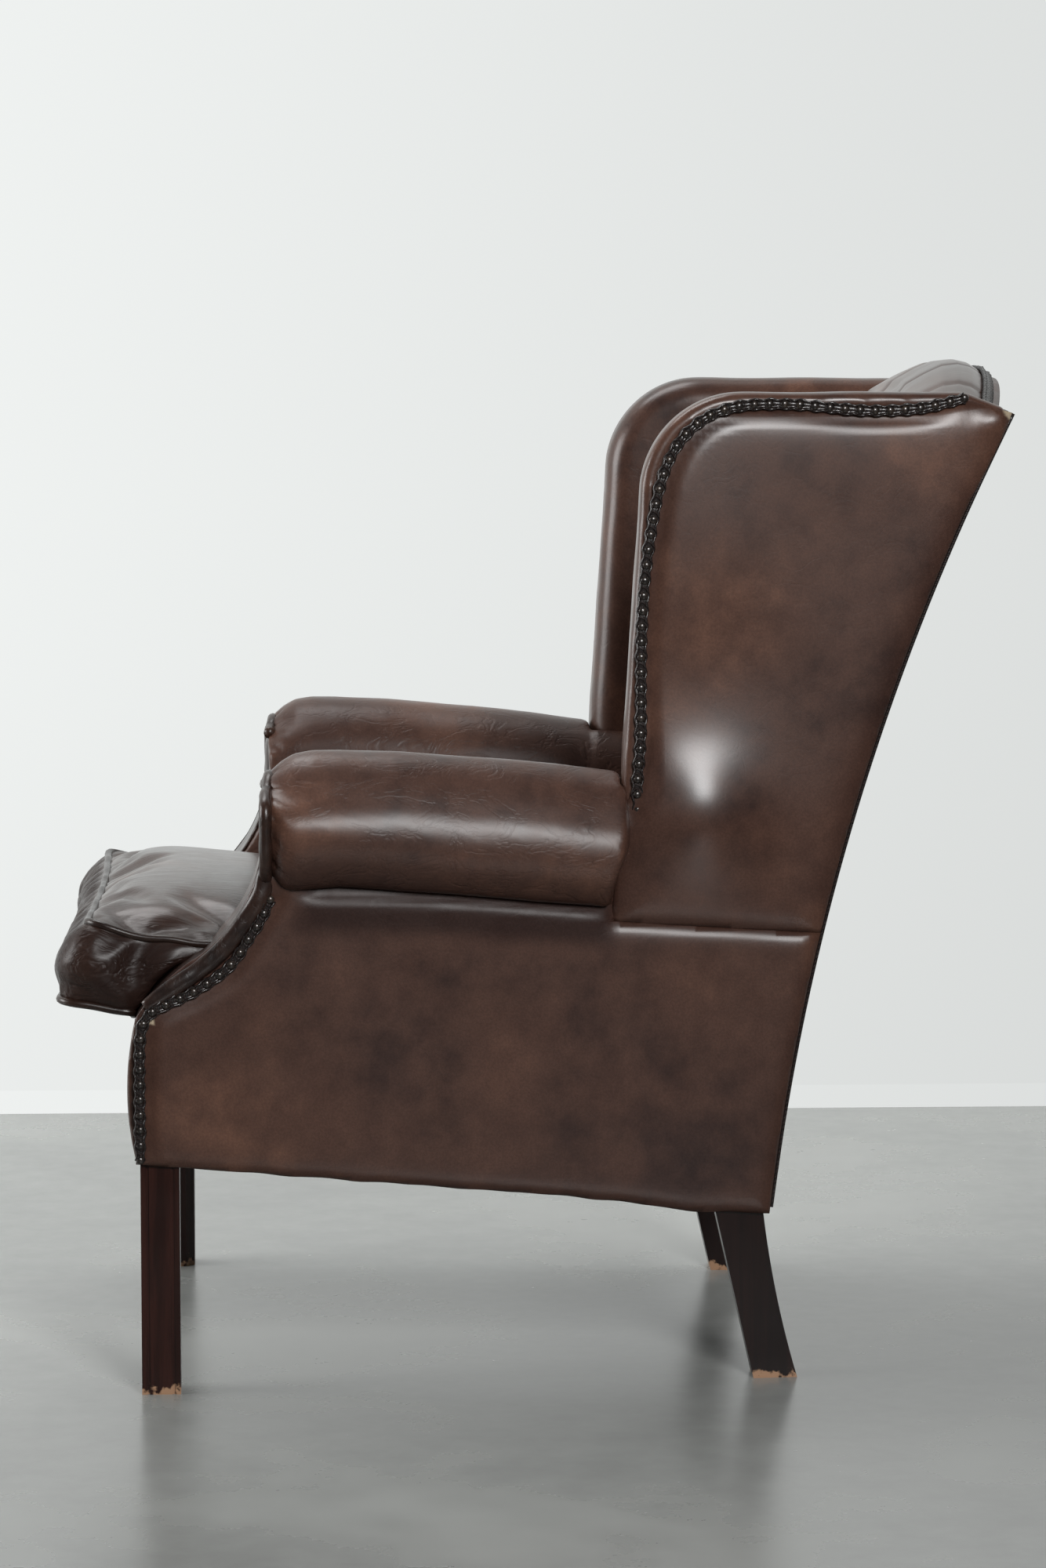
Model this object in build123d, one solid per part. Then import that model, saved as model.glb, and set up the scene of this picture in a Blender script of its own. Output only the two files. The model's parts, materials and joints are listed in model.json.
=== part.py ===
from build123d import *
import os
from math import atan2, cos, pi, sin, sqrt, tan

os.makedirs("parts", exist_ok=True)

# Millimetres. +X is the sitter's left, -Y the front, +Z up, and the floor is at Z = 0.
# Plan and stance of the frame
FRONT_HALF_WIDTH = 350.0
REAR_HALF_WIDTH = 298.0
FRONT_SET_OUT = 419.1
FRAME_DEPTH = 657.0
FRONT_LEG_HEIGHT = 242.0
SEAT_FALL = 64.0

# Rear outline of the back, an arc that leans away from the sitter
BACK_RISE = 816.0
BACK_LEAN = 242.0
BACK_BEND_RADIUS = 2500.0
CREST_HUMP = 30.0

# Skins and trims
PANEL_THICKNESS = 4.0
BACK_PANEL_THICKNESS = 5.0
GIMP_WIDTH = 13.0
GIMP_THICKNESS = 2.5
PIPING_RADIUS = 4.0
PIPING_STAND_OFF = 5.0
SOFT_GAP = 0.3

# Timber
LEG_SIDE = 40.0
LEG_BAND = 5.5
LEG_GROOVE_WIDTH = 3.0
LEG_GROOVE_DEPTH = 2.0
LEG_CHAMFER = 10.0
REAR_LEG_TOP_DEPTH = 50.0
REAR_LEG_FOOT_DEPTH = 46.0
REAR_LEG_KICK = 37.0
REAR_LEG_BOW = 4.0
REAR_LEG_SPLICE = 120.0
RAIL_HEIGHT = 80.0
RAIL_THICKNESS = 32.0
POST_THICKNESS = 26.0
POST_DEPTH = 44.0
CORNER_BLOCK = 55.0
CREST_RAIL_HEIGHT = 66.0
LOWER_RAIL_HEIGHT = 50.0
LOWER_RAIL_LIFT = 150.0
ARM_BOARD_WIDTH = 44.0
ARM_BOARD_THICKNESS = 24.0

# Arms
ARM_SET_BACK = 129.0
ARM_FOOT_RISE = 150.0
ARM_AXIS_RISE = 378.0
ARM_WIDTH = 98.0
ROLL_RADIUS = 68.0
ROLL_FRONT_ROUND = 22.0
ARM_SLAB_THICKNESS = 36.0
FACING_THICKNESS = 4.0
FACING_DISC_RADIUS = 46.0
FACING_DISC_DROP = 18.0
PANEL_TOP_RISE = 270.0
PANEL_TOP_FALL = 39.0

# Wings
WING_SET_BACK = 500.0
WING_LEAN = 25.0
WING_TOP_RISE = 786.0
WING_CORNER_RADIUS = 106.0
WING_REAR_DROP = 24.0
WING_REAR_RUN = 62.0
WING_THICKNESS = 58.0
WING_OUTER_ROUND = 9.0
WING_INNER_ROUND = 28.0
WING_GIMP_INSET = 8.5
WING_PANEL_INSET = 13.0
WING_POST_INSET = 24.0
WING_SPLICE_RISE = 660.0

# Inside back and its buttoned tufts
BACK_THICKNESS_LOW = 170.0
BACK_THICKNESS_TOP = 124.0
TUFT_RISE = 24.0
TUFT_RADIUS = 118.0
BUTTON_SPACING = 125.0
ROW_SPACING = 88.0
BUTTON_ROWS = 5
TOP_ROW_DROP = 95.0
BUTTON_RADIUS = 11.0
BUTTON_THICKNESS = 6.0
CREST_PAD = 36.0
CREST_FRONT_FALL = 46.0
CREST_REAR_FALL = 22.0
CREST_SET_FORWARD = 45.0
BACK_PANEL_DROP = 18.0
BACK_FRAME_DEPTH = 42.0
CREST_LOBE_DEPTH = 9.0
LOBE_STEPS = 2

# Seat platform
CLOTH_THICKNESS = 1.2
CLOTH_INSET = 10.0
WEB_THICKNESS = 2.0
HESSIAN_THICKNESS = 1.2
WEB_WIDTH = 50.0
SEAT_WEBS_ACROSS = 5
SEAT_WEBS_LONG = 5
BACK_WEBS_ACROSS = 4
BACK_WEBS_LONG = 3
SPRING_RADIUS = 40.0
SPRING_WIRE_RADIUS = 1.8
SPRING_TURNS = 4
SPRINGS_ACROSS = 3
SPRINGS_LONG = 3
DECK_TOP = 139.0
BORDER_BULGE = 9.0

# Loose seat cushion
CUSHION_HALF_WIDTH = 300.0
CUSHION_OVERHANG = 92.0
CUSHION_FACE_LEAN = 17.0
CUSHION_BOTTOM_LIP = 10.0
CUSHION_BOXING = 88.0
CUSHION_CROWN = 50.0
CUSHION_DRAW_IN = 7.0
CUSHION_BOTTOM_INSET = 10.0
CUSHION_CORNER_RADIUS = 22.0
CUSHION_EAR_RADIUS = 10.0
CUSHION_SKIN = 3.0
CUSHION_SIDE_GAP = 10.0
CUSHION_EAR_GAP = 13.0
CUSHION_BACK_GAP = 11.0
EAR_ROUNDS = 8

# Shares of the sizes that they follow
arm_sweep_share = ((0.217, 0.166), (0.512, 0.299), (0.868, 0.543), (1.0, 1.0))
crown_rise_share = (0.36, 0.64, 0.84)
crown_inset_share = (0.09, 0.19, 0.30)
crown_centre_share = 0.30

# Sizes that follow from the ones above
OVERRUN = FRAME_DEPTH
taper = atan2(FRONT_HALF_WIDTH - REAR_HALF_WIDTH, FRAME_DEPTH)
rake = atan2(SEAT_FALL, FRAME_DEPTH)
front_y = -FRONT_SET_OUT
back_foot = (front_y + FRAME_DEPTH, FRONT_LEG_HEIGHT - SEAT_FALL)
back_top = (back_foot[0] + BACK_LEAN, back_foot[1] + BACK_RISE)
wing_top = FRONT_LEG_HEIGHT + WING_TOP_RISE
arm_foot = FRONT_LEG_HEIGHT + ARM_FOOT_RISE
arm_axis = FRONT_LEG_HEIGHT + ARM_AXIS_RISE
roll_depth = ARM_WIDTH - ROLL_RADIUS
panel_front = GIMP_THICKNESS + BACK_PANEL_THICKNESS
post_front = panel_front + POST_DEPTH
rail_base = CLOTH_THICKNESS + WEB_THICKNESS
rail_top = rail_base + RAIL_HEIGHT
crest_top = wing_top + CREST_HUMP


def back_centre():
    """Centre of the rear outline's arc, in side view."""
    half_y = BACK_LEAN / 2
    half_z = BACK_RISE / 2
    half_chord = sqrt(half_y**2 + half_z**2)
    reach = sqrt(BACK_BEND_RADIUS**2 - half_chord**2) / half_chord
    return back_foot[0] + half_y + half_z * reach, back_foot[1] + half_z - half_y * reach


centre_y, centre_z = back_centre()


def back_y(z, forward=0.0):
    """Y of the back's arc at a height, moved forward by a thickness."""
    return centre_y - sqrt((BACK_BEND_RADIUS + forward) ** 2 - (z - centre_z) ** 2)


def side_x(y, depth=0.0):
    """X of the left side's outer face, or of a layer inside it, at y."""
    return FRONT_HALF_WIDTH - depth / cos(taper) - (y - front_y) * tan(taper)


seat_plane = Plane(
    origin=(0, front_y, FRONT_LEG_HEIGHT), x_dir=(1, 0, 0), z_dir=(0, sin(rake), cos(rake))
)


def outline(*edges):
    return make_face(Wire(list(edges)))


def polygon(*points):
    return make_face(Polyline(*points, close=True))


def side_layer(outer, inner):
    """Upright layer of the left side between two depths inside its outer face."""
    near, far = front_y - FRAME_DEPTH, front_y + 2 * FRAME_DEPTH
    places = ((near, outer), (far, outer), (far, inner), (near, inner))
    plan = polygon(*[(side_x(y, depth), y) for y, depth in places])
    return extrude(Plane.XY * plan, amount=2 * crest_top)


def side_board(face, outer, inner):
    """Side view cut to a layer of the left side between two depths."""
    return extrude(Plane.YZ * face, amount=OVERRUN) & side_layer(outer, inner)


def back_sector(near, far, low, high, half_width=None):
    """Layer that follows the back's arc, between two forward thicknesses and two heights."""
    middle = (low + high) / 2
    corners = [(back_y(z, near), z) for z in (low, middle, high)]
    others = [(back_y(z, far), z) for z in (high, middle, low)]
    face = outline(
        ThreePointArc(*corners),
        Line(corners[-1], others[0]),
        ThreePointArc(*others),
        Line(others[-1], corners[0]),
    )
    reach = half_width or OVERRUN
    return extrude(Plane.YZ * face, amount=reach, both=True)


def crest_z(x):
    """Height of the crest's hump across the chair."""
    half = side_x(back_top[0], WING_THICKNESS)
    share = 1 - (min(abs(x), half) / half) ** 2
    return wing_top + CREST_HUMP * share


def under_hump(side_high, middle_high, half):
    """Everything under an arched top edge across the back, which is level beyond a half width."""
    face = outline(
        Line((-OVERRUN, 0), (OVERRUN, 0)),
        Line((OVERRUN, 0), (OVERRUN, side_high)),
        Line((OVERRUN, side_high), (half, side_high)),
        ThreePointArc((half, side_high), (0, middle_high), (-half, side_high)),
        Line((-half, side_high), (-OVERRUN, side_high)),
        Line((-OVERRUN, side_high), (-OVERRUN, 0)),
    )
    return extrude(Plane.XZ * face, amount=2 * OVERRUN, both=True)


def raked_layer(plan, low, high):
    """Plan outline cut to a layer between two heights above the raked seat plane."""
    column = extrude(Plane.XY * plan, amount=2 * crest_top)
    slab = extrude(seat_plane.offset(low) * Rectangle(4 * OVERRUN, 4 * OVERRUN), amount=high - low)
    return column & slab


def seat_plan(front, rear, depth):
    """Plan between the two sides, a depth inside them, from front to rear."""
    corners = [(side_x(front, depth), front), (side_x(rear, depth), rear)]
    return polygon(*corners, *[(-x, y) for x, y in reversed(corners)])


def both_sides(name, solid):
    """Writes a left piece and its mirror image."""
    write(name + "_left", solid)
    write(name + "_right", mirror(solid, about=Plane.YZ))


def write(name, shape):
    export_step(shape, "parts/" + name + ".step")


def roll_axis(y):
    """Height of the arm's raked axis at y."""
    return arm_axis - (y - front_y) * tan(rake)


def sweep_places(set_back):
    """Foot, turning places and head of the arm's front S-curve, moved back by a thickness."""
    front = front_y + set_back
    rise = roll_axis(front + ARM_SET_BACK) - arm_foot
    places = [(front, arm_foot)]
    for run_part, rise_part in arm_sweep_share:
        places.append((front + run_part * ARM_SET_BACK, arm_foot + rise_part * rise))
    return places


def arm_profile(set_back, rear):
    """Side view of an arm behind its front edge, from the floor to the roll's raked axis."""
    places = sweep_places(set_back)
    foot, head = places[0], places[-1]
    return outline(
        Line((foot[0], 0), foot),
        ThreePointArc(*places[:3]),
        ThreePointArc(*places[2:]),
        Line(head, (rear, roll_axis(rear))),
        Line((rear, roll_axis(rear)), (rear, 0)),
        Line((rear, 0), (foot[0], 0)),
    )


def roll_solid(front, rear, radius):
    """Rolled top of the left arm: an upright circle moved along the raked axis."""
    centre = (side_x(front, roll_depth), front, roll_axis(front))
    start = Plane(origin=centre, x_dir=(1, 0, 0), z_dir=(0, 1, 0))
    travel = Vector(-tan(taper), 1, -tan(rake))
    return extrude(start * Circle(radius), amount=(rear - front) * travel.length, dir=travel)


def rounded_roll():
    """Roll behind the front facing, with its rounded front end, up to the wing."""
    front = front_y + ARM_SET_BACK + FACING_THICKNESS
    roll = roll_solid(front, front_y + WING_SET_BACK, ROLL_RADIUS)
    ends = roll.edges().filter_by(GeomType.CIRCLE).sort_by(Axis.Y)
    return fillet(ends[0], ROLL_FRONT_ROUND)


def seam_z(y):
    """Height of the seam between the outside arm and the outside wing."""
    share = (y - front_y - ARM_SET_BACK) / (FRAME_DEPTH - ARM_SET_BACK)
    return FRONT_LEG_HEIGHT + PANEL_TOP_RISE - PANEL_TOP_FALL * share


def wing_line(height, inset=0.0):
    """Y of the wing's leaning front edge at a height, set in by a thickness."""
    lean = WING_LEAN * (height - arm_axis) / (wing_top - arm_axis)
    return front_y + WING_SET_BACK + inset + lean


def wing_face(inset, to_seam=True):
    """Side view of a wing, set in from its front and top edges, down to the seam or the floor."""
    top = wing_top - inset
    rear = back_y(top)
    far = rear + WING_REAR_RUN
    front_low = seam_place(inset) if to_seam else (wing_line(0, inset), 0)
    front_high = (wing_line(top, inset), top)
    face = polygon(
        front_low,
        front_high,
        (rear - WING_REAR_RUN, top),
        (rear, top - WING_REAR_DROP),
        (far, top - 2 * WING_REAR_DROP),
        (far, seam_z(far) if to_seam else 0),
    )
    corner = face.vertices().sort_by_distance(front_high)[0]
    return fillet(corner, WING_CORNER_RADIUS - inset)


def seam_place(inset):
    """Where the wing's front edge meets the seam."""
    lean = WING_LEAN / (wing_top - arm_axis)
    fall = PANEL_TOP_FALL / (FRAME_DEPTH - ARM_SET_BACK)
    base = wing_line(arm_axis, inset)
    z = (seam_z(base) + fall * lean * arm_axis) / (1 + fall * lean)
    return wing_line(z, inset), z


in_front_of_panel = back_sector(panel_front, panel_front + 2 * OVERRUN, 0, crest_top)
in_front_of_posts = back_sector(post_front, post_front + 2 * OVERRUN, 0, crest_top)
all_plan = Rectangle(4 * OVERRUN, 4 * OVERRUN)
above_floor_of_seat = raked_layer(all_plan, 0, 4 * OVERRUN)
above_rails = raked_layer(all_plan, rail_top, 4 * OVERRUN)
above_hessian = raked_layer(all_plan, rail_top + HESSIAN_THICKNESS, 4 * OVERRUN)
above_deck = raked_layer(all_plan, DECK_TOP, 4 * OVERRUN)


def between_sides(depth):
    """Upright block between the two sides, a depth inside their outer faces."""
    plan = seat_plan(front_y - FRAME_DEPTH, front_y + 2 * FRAME_DEPTH, depth)
    return extrude(Plane.XY * plan, amount=2 * crest_top)


def front_leg():
    """Square leg with grooved outer and front faces, rising inside the corner to the rails' tops."""
    front = front_y + FACING_THICKNESS
    outer = side_x(front + LEG_SIDE, PANEL_THICKNESS)
    centre = (outer - LEG_SIDE / 2, front + LEG_SIDE / 2)
    section = Rectangle(LEG_SIDE, LEG_SIDE)
    groove_place = LEG_SIDE / 2 - LEG_BAND - LEG_GROOVE_WIDTH / 2
    for shift in (-groove_place, groove_place):
        section -= Pos(LEG_SIDE / 2, shift) * Rectangle(2 * LEG_GROOVE_DEPTH, LEG_GROOVE_WIDTH)
        section -= Pos(shift, -LEG_SIDE / 2) * Rectangle(LEG_GROOVE_WIDTH, 2 * LEG_GROOVE_DEPTH)
    inner_corner = section.vertices().sort_by_distance((-LEG_SIDE / 2, LEG_SIDE / 2))[0]
    section = chamfer(inner_corner, LEG_CHAMFER)
    lower = extrude(Pos(*centre) * section, amount=FRONT_LEG_HEIGHT)
    block_plan = Pos(*centre) * Rectangle(LEG_SIDE, LEG_SIDE)
    block = extrude(block_plan, amount=FRONT_LEG_HEIGHT + rail_top)
    upper = block - above_rails - extrude(block_plan, amount=FRONT_LEG_HEIGHT)
    return lower + upper


def rear_leg():
    """Sabre leg that runs up into the frame, where the back post is spliced to it."""
    splice = back_foot[1] + REAR_LEG_SPLICE
    low = back_foot[1]
    heel = back_y(low, panel_front) + REAR_LEG_KICK
    bow = (back_y(low, panel_front) + REAR_LEG_KICK / 2 - REAR_LEG_BOW, low / 2)
    rear_high = (back_y(splice, panel_front), splice)
    rear_low = (back_y(low, panel_front), low)
    middle = (low + splice) / 2
    face = outline(
        ThreePointArc(rear_high, (back_y(middle, panel_front), middle), rear_low),
        ThreePointArc(rear_low, bow, (heel, 0)),
        Line((heel, 0), (heel - REAR_LEG_FOOT_DEPTH, 0)),
        Line((heel - REAR_LEG_FOOT_DEPTH, 0), (rear_low[0] - REAR_LEG_TOP_DEPTH, low)),
        Line((rear_low[0] - REAR_LEG_TOP_DEPTH, low), (back_y(splice, post_front), splice)),
        Line((back_y(splice, post_front), splice), rear_high),
    )
    bar = extrude(Plane.YZ * face, amount=OVERRUN)
    return bar & side_layer(PANEL_THICKNESS, PANEL_THICKNESS + LEG_SIDE)


def back_post():
    """Raked upright spliced on the rear leg, up to the wing's top rail."""
    splice = back_foot[1] + REAR_LEG_SPLICE
    top = wing_top - WING_POST_INSET - WING_REAR_DROP
    bar = back_sector(panel_front, post_front, splice, top)
    inner = PANEL_THICKNESS + POST_THICKNESS
    return bar & side_layer(PANEL_THICKNESS, inner)


def side_rail():
    """Side seat rail between the front and the rear leg."""
    front = front_y + FACING_THICKNESS + LEG_SIDE
    rear = back_foot[0] - panel_front - REAR_LEG_TOP_DEPTH / 2
    corners = [(side_x(y, depth), y) for y, depth in (
        (front, PANEL_THICKNESS),
        (rear, PANEL_THICKNESS),
        (rear, PANEL_THICKNESS + RAIL_THICKNESS),
        (front, PANEL_THICKNESS + RAIL_THICKNESS),
    )]
    return raked_layer(polygon(*corners), rail_base, rail_top) - rear_leg()


def front_rail():
    """Front seat rail between the two front legs."""
    front = front_y + FACING_THICKNESS
    half = side_x(front + LEG_SIDE, PANEL_THICKNESS) - LEG_SIDE
    plan = Pos(0, front + RAIL_THICKNESS / 2) * Rectangle(2 * half, RAIL_THICKNESS)
    return raked_layer(plan, rail_base, rail_top)


def rear_rail():
    """Rear seat rail between the two rear legs, behind the springs."""
    bar = back_sector(panel_front, panel_front + RAIL_THICKNESS, 0, crest_top)
    block = bar & between_sides(PANEL_THICKNESS + LEG_SIDE)
    return block & raked_layer(all_plan, rail_base, rail_top)


def corner_blocks():
    """Triangular glue blocks in the four corners of the seat frame."""
    inner = PANEL_THICKNESS + RAIL_THICKNESS
    front = front_y + FACING_THICKNESS + RAIL_THICKNESS
    low = back_foot[1]
    rear = back_y(low + rail_top, panel_front + RAIL_THICKNESS)
    blocks = []
    for start, turn in ((front, 1), (rear, -1)):
        corner = (side_x(start, inner), start)
        along = (side_x(start + turn * CORNER_BLOCK, inner), start + turn * CORNER_BLOCK)
        across = (corner[0] - CORNER_BLOCK, start)
        block = raked_layer(polygon(corner, along, across), rail_base, rail_top)
        blocks.append(block - front_leg() - rear_leg() - rear_rail())
    blocks += [mirror(block, about=Plane.YZ) for block in blocks]
    return Compound(children=[solid for block in blocks for solid in block.solids()])


def bottom_cloth():
    """Black dust cloth tacked under the rails, cut round the legs."""
    plan = seat_plan(front_y + CLOTH_INSET, back_foot[0], CLOTH_INSET)
    layer = raked_layer(plan, 0, CLOTH_THICKNESS) & in_front_of_panel
    legs = [front_leg(), rear_leg()]
    legs += [mirror(leg, about=Plane.YZ) for leg in legs]
    return layer - legs


def web_grid(count, start, end):
    """Centres of evenly spaced webs between two limits."""
    step = (end - start) / count
    return [start + step * (index + 0.5) for index in range(count)]


def seat_webbing():
    """Woven webs under the rails, laid both ways, which carry the springs."""
    front = front_y + FACING_THICKNESS
    rear = back_foot[0] - panel_front - POST_DEPTH
    inner = PANEL_THICKNESS + RAIL_THICKNESS
    strips = Sketch()
    for y in web_grid(SEAT_WEBS_ACROSS, front + LEG_SIDE, rear):
        strips += Pos(0, y) * Rectangle(2 * OVERRUN, WEB_WIDTH)
    half = side_x(rear, inner + LEG_SIDE)
    for x in web_grid(SEAT_WEBS_LONG, -half, half):
        strips += Pos(x, (front + back_foot[0]) / 2) * Rectangle(WEB_WIDTH, back_foot[0] - front)
    layer = raked_layer(strips, CLOTH_THICKNESS, rail_base)
    return layer & between_sides(PANEL_THICKNESS) & in_front_of_panel


def seat_spring(place):
    """Coil spring that stands on the webbing, upright to the raked seat."""
    height = RAIL_HEIGHT - 2 * SPRING_WIRE_RADIUS
    path = Helix(pitch=height / SPRING_TURNS, height=height, radius=SPRING_RADIUS)
    start = Plane(origin=path @ 0, z_dir=path % 0)
    wire = sweep(start * RegularPolygon(SPRING_WIRE_RADIUS, 4), path=path, is_frenet=True)
    return seat_plane.offset(rail_base + SPRING_WIRE_RADIUS) * Pos(*place) * wire


def seat_springs():
    """Coil springs in rows between the rails."""
    front = RAIL_THICKNESS + SPRING_RADIUS
    rear = FRAME_DEPTH - RAIL_THICKNESS - 2 * SPRING_RADIUS
    half = REAR_HALF_WIDTH - RAIL_THICKNESS - SPRING_RADIUS
    springs = [
        seat_spring((x, y))
        for y in web_grid(SPRINGS_LONG, front, rear)
        for x in web_grid(SPRINGS_ACROSS, -half, half)
    ]
    return Compound(children=springs)


def seat_hessian():
    """Hessian sheet over the springs, tacked on the rails' tops."""
    plan = seat_plan(front_y + FACING_THICKNESS, back_foot[0], PANEL_THICKNESS + POST_THICKNESS)
    layer = raked_layer(plan, rail_top, rail_top + HESSIAN_THICKNESS) & in_front_of_panel
    legs = [rear_leg(), mirror(rear_leg(), about=Plane.YZ)]
    return layer - legs


def seat_deck():
    """Stuffed platform under the cushion, between the arms and up to the back frame."""
    plan = seat_plan(front_y + FACING_THICKNESS, 2 * back_foot[0], ARM_WIDTH)
    layer = raked_layer(plan, rail_top + HESSIAN_THICKNESS, DECK_TOP)
    return layer & back_sector(post_front, post_front + 2 * OVERRUN, 0, crest_top)


def front_border():
    """Leather border over the front rail, with its padded bulge."""
    back = front_y + FACING_THICKNESS
    low = FRONT_LEG_HEIGHT
    face = outline(
        Line((back, low), (front_y, low)),
        ThreePointArc((front_y, low), (front_y - BORDER_BULGE, (low + arm_foot) / 2), (front_y, arm_foot)),
        Line((front_y, arm_foot), (back, arm_foot)),
        Line((back, arm_foot), (back, low)),
    )
    strip = extrude(Plane.YZ * face, amount=OVERRUN, both=True) & between_sides(PANEL_THICKNESS)
    return strip - (above_deck & between_sides(ARM_WIDTH))


def arm_board():
    """Board in the arm's roll, from the arm post to the wing post."""
    half = ARM_BOARD_THICKNESS / 2
    start = front_y + ARM_SET_BACK + FACING_THICKNESS
    end = front_y + WING_SET_BACK + WING_POST_INSET + POST_DEPTH
    face = polygon(
        (start, roll_axis(start) - half),
        (end, roll_axis(end) - half),
        (end, roll_axis(end) + half),
        (start, roll_axis(start) + half),
    )
    board = side_board(face, PANEL_THICKNESS, PANEL_THICKNESS + ARM_BOARD_WIDTH)
    behind = side_board(wing_face(WING_POST_INSET, False), 0, ARM_WIDTH)
    return board - behind - arm_facing()


def arm_post():
    """Shaped front post of the arm, from the seat rail to the arm board."""
    rear = front_y + WING_SET_BACK
    face = arm_profile(FACING_THICKNESS, rear) - arm_profile(FACING_THICKNESS + POST_DEPTH, rear)
    post = side_board(face, PANEL_THICKNESS, PANEL_THICKNESS + POST_THICKNESS) & above_rails
    high = ARM_BOARD_THICKNESS / 2
    cover = polygon(
        (front_y, roll_axis(front_y) - high),
        (rear, roll_axis(rear) - high),
        (rear, crest_top),
        (front_y, crest_top),
    )
    return post - side_board(cover, 0, ARM_WIDTH) - arm_facing()


def wing_frame():
    """Front post and top rail of the wing in one bent strip."""
    inner = WING_POST_INSET + POST_DEPTH
    face = wing_face(WING_POST_INSET, False) - wing_face(inner, False)
    strip = side_board(face, PANEL_THICKNESS, PANEL_THICKNESS + POST_THICKNESS)
    return strip & above_rails & in_front_of_posts


def below(height):
    """Everything lower than a height."""
    return Pos(0, 0, height / 2) * Box(4 * OVERRUN, 4 * OVERRUN, height)


def wing_pad():
    """Padded inside wing that rolls over its front and top edges to the nails outside."""
    pad = side_board(wing_face(0), 0, WING_THICKNESS)
    low = seam_z(front_y + WING_SET_BACK) + SOFT_GAP
    limit = back_y(wing_top) + WING_REAR_RUN / 2
    for depth, radius in ((0, WING_OUTER_ROUND), (WING_THICKNESS, WING_INNER_ROUND)):
        edges = []
        for edge in pad.edges():
            place = edge.center()
            on_face = abs(place.X - side_x(place.Y, depth)) < SOFT_GAP
            if on_face and place.Y < limit and place.Z > low:
                edges.append(edge)
        pad = fillet(edges, radius)
    pad = pad & in_front_of_panel
    pad -= side_board(wing_face(WING_PANEL_INSET), 0, PANEL_THICKNESS)
    pad -= side_board(wing_face(WING_POST_INSET, False), 0, PANEL_THICKNESS + POST_THICKNESS)
    pad -= back_cavity() & between_sides(PANEL_THICKNESS)
    front = front_y + ARM_SET_BACK + FACING_THICKNESS
    return pad - arm_board() - roll_solid(front, front_y + WING_SET_BACK, ROLL_RADIUS)


def arm_pad():
    """Stuffed inside arm with its roll, round the board and behind the front facing."""
    far = 2 * back_foot[0]
    tail = roll_solid(front_y + WING_SET_BACK, far, ROLL_RADIUS) & between_sides(WING_THICKNESS)
    slab_outer = ARM_WIDTH - ARM_SLAB_THICKNESS
    slab = side_board(arm_profile(FACING_THICKNESS, far), slab_outer, ARM_WIDTH - SOFT_GAP)
    pad = (rounded_roll() + tail + (slab & above_hessian)) & in_front_of_posts
    return pad - arm_board() - wing_frame() - arm_post() - arm_facing()


def arm_facing():
    """Front facing of the arm: a strip on the S-curve with a round head on the roll."""
    rear = front_y + WING_SET_BACK
    face = arm_profile(0, rear) - arm_profile(FACING_THICKNESS, rear)
    strip = side_board(face, PANEL_THICKNESS, ARM_WIDTH - FACING_THICKNESS)
    front = front_y + ARM_SET_BACK
    head = roll_solid(front, front + FACING_THICKNESS, FACING_DISC_RADIUS)
    return (strip - below(arm_foot)) + Pos(0, 0, -FACING_DISC_DROP) * head


def outside_arm_panel():
    """Leather outside arm that is tucked up under the roll, with its S-shaped front edge."""
    face = arm_profile(0, back_top[0]) - wing_face(0)
    panel = side_board(face, 0, PANEL_THICKNESS)
    return (panel & above_floor_of_seat & in_front_of_panel) - rounded_roll() - arm_facing()


def outside_wing_panel():
    """Leather outside wing above the seam."""
    return side_board(wing_face(WING_PANEL_INSET), 0, PANEL_THICKNESS) & in_front_of_panel


def wing_gimp():
    """Braided strip along the wing's front and top edges, which carries the nails."""
    face = wing_face(WING_GIMP_INSET) - wing_face(WING_GIMP_INSET + GIMP_WIDTH)
    strip = side_board(face, -GIMP_THICKNESS, 0) & in_front_of_panel
    return strip - below(roll_axis(front_y + WING_SET_BACK) + ROLL_RADIUS / 2)


def arm_gimp():
    """Braided strip along the S-curve and down the front edge of the outside arm."""
    rear = front_y + WING_SET_BACK
    face = arm_profile(GIMP_THICKNESS, rear) - arm_profile(GIMP_THICKNESS + GIMP_WIDTH, rear)
    high = seam_z(front_y + ARM_SET_BACK)
    strip = side_board(face, -GIMP_THICKNESS, 0) & below(high)
    return strip & above_floor_of_seat


def back_cavity():
    """Room of the back frame and its webbing, under the padded crest."""
    layer = back_sector(0, panel_front + BACK_FRAME_DEPTH + WEB_THICKNESS, 0, crest_top)
    return layer & back_arch(CREST_PAD)


def back_arch(drop):
    """Everything under the back's arched top: a drop below the crest, and less at the wings."""
    low = drop - BACK_PANEL_DROP
    return under_hump(wing_top - WING_REAR_DROP - low, crest_top - drop, side_x(back_top[0]))


def crest_rail():
    """Humped top rail between the back posts."""
    bar = back_sector(panel_front, panel_front + BACK_FRAME_DEPTH, 0, crest_top)
    bar = bar & back_arch(CREST_PAD) & between_sides(PANEL_THICKNESS + POST_THICKNESS)
    return bar - back_arch(CREST_PAD + CREST_RAIL_HEIGHT)


def lower_back_rail():
    """Lower rail of the back, above the seat, between the back posts."""
    low = back_foot[1] + REAR_LEG_SPLICE + LOWER_RAIL_LIFT
    bar = back_sector(panel_front, panel_front + BACK_FRAME_DEPTH, low, low + LOWER_RAIL_HEIGHT)
    return bar & between_sides(PANEL_THICKNESS + POST_THICKNESS)


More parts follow.
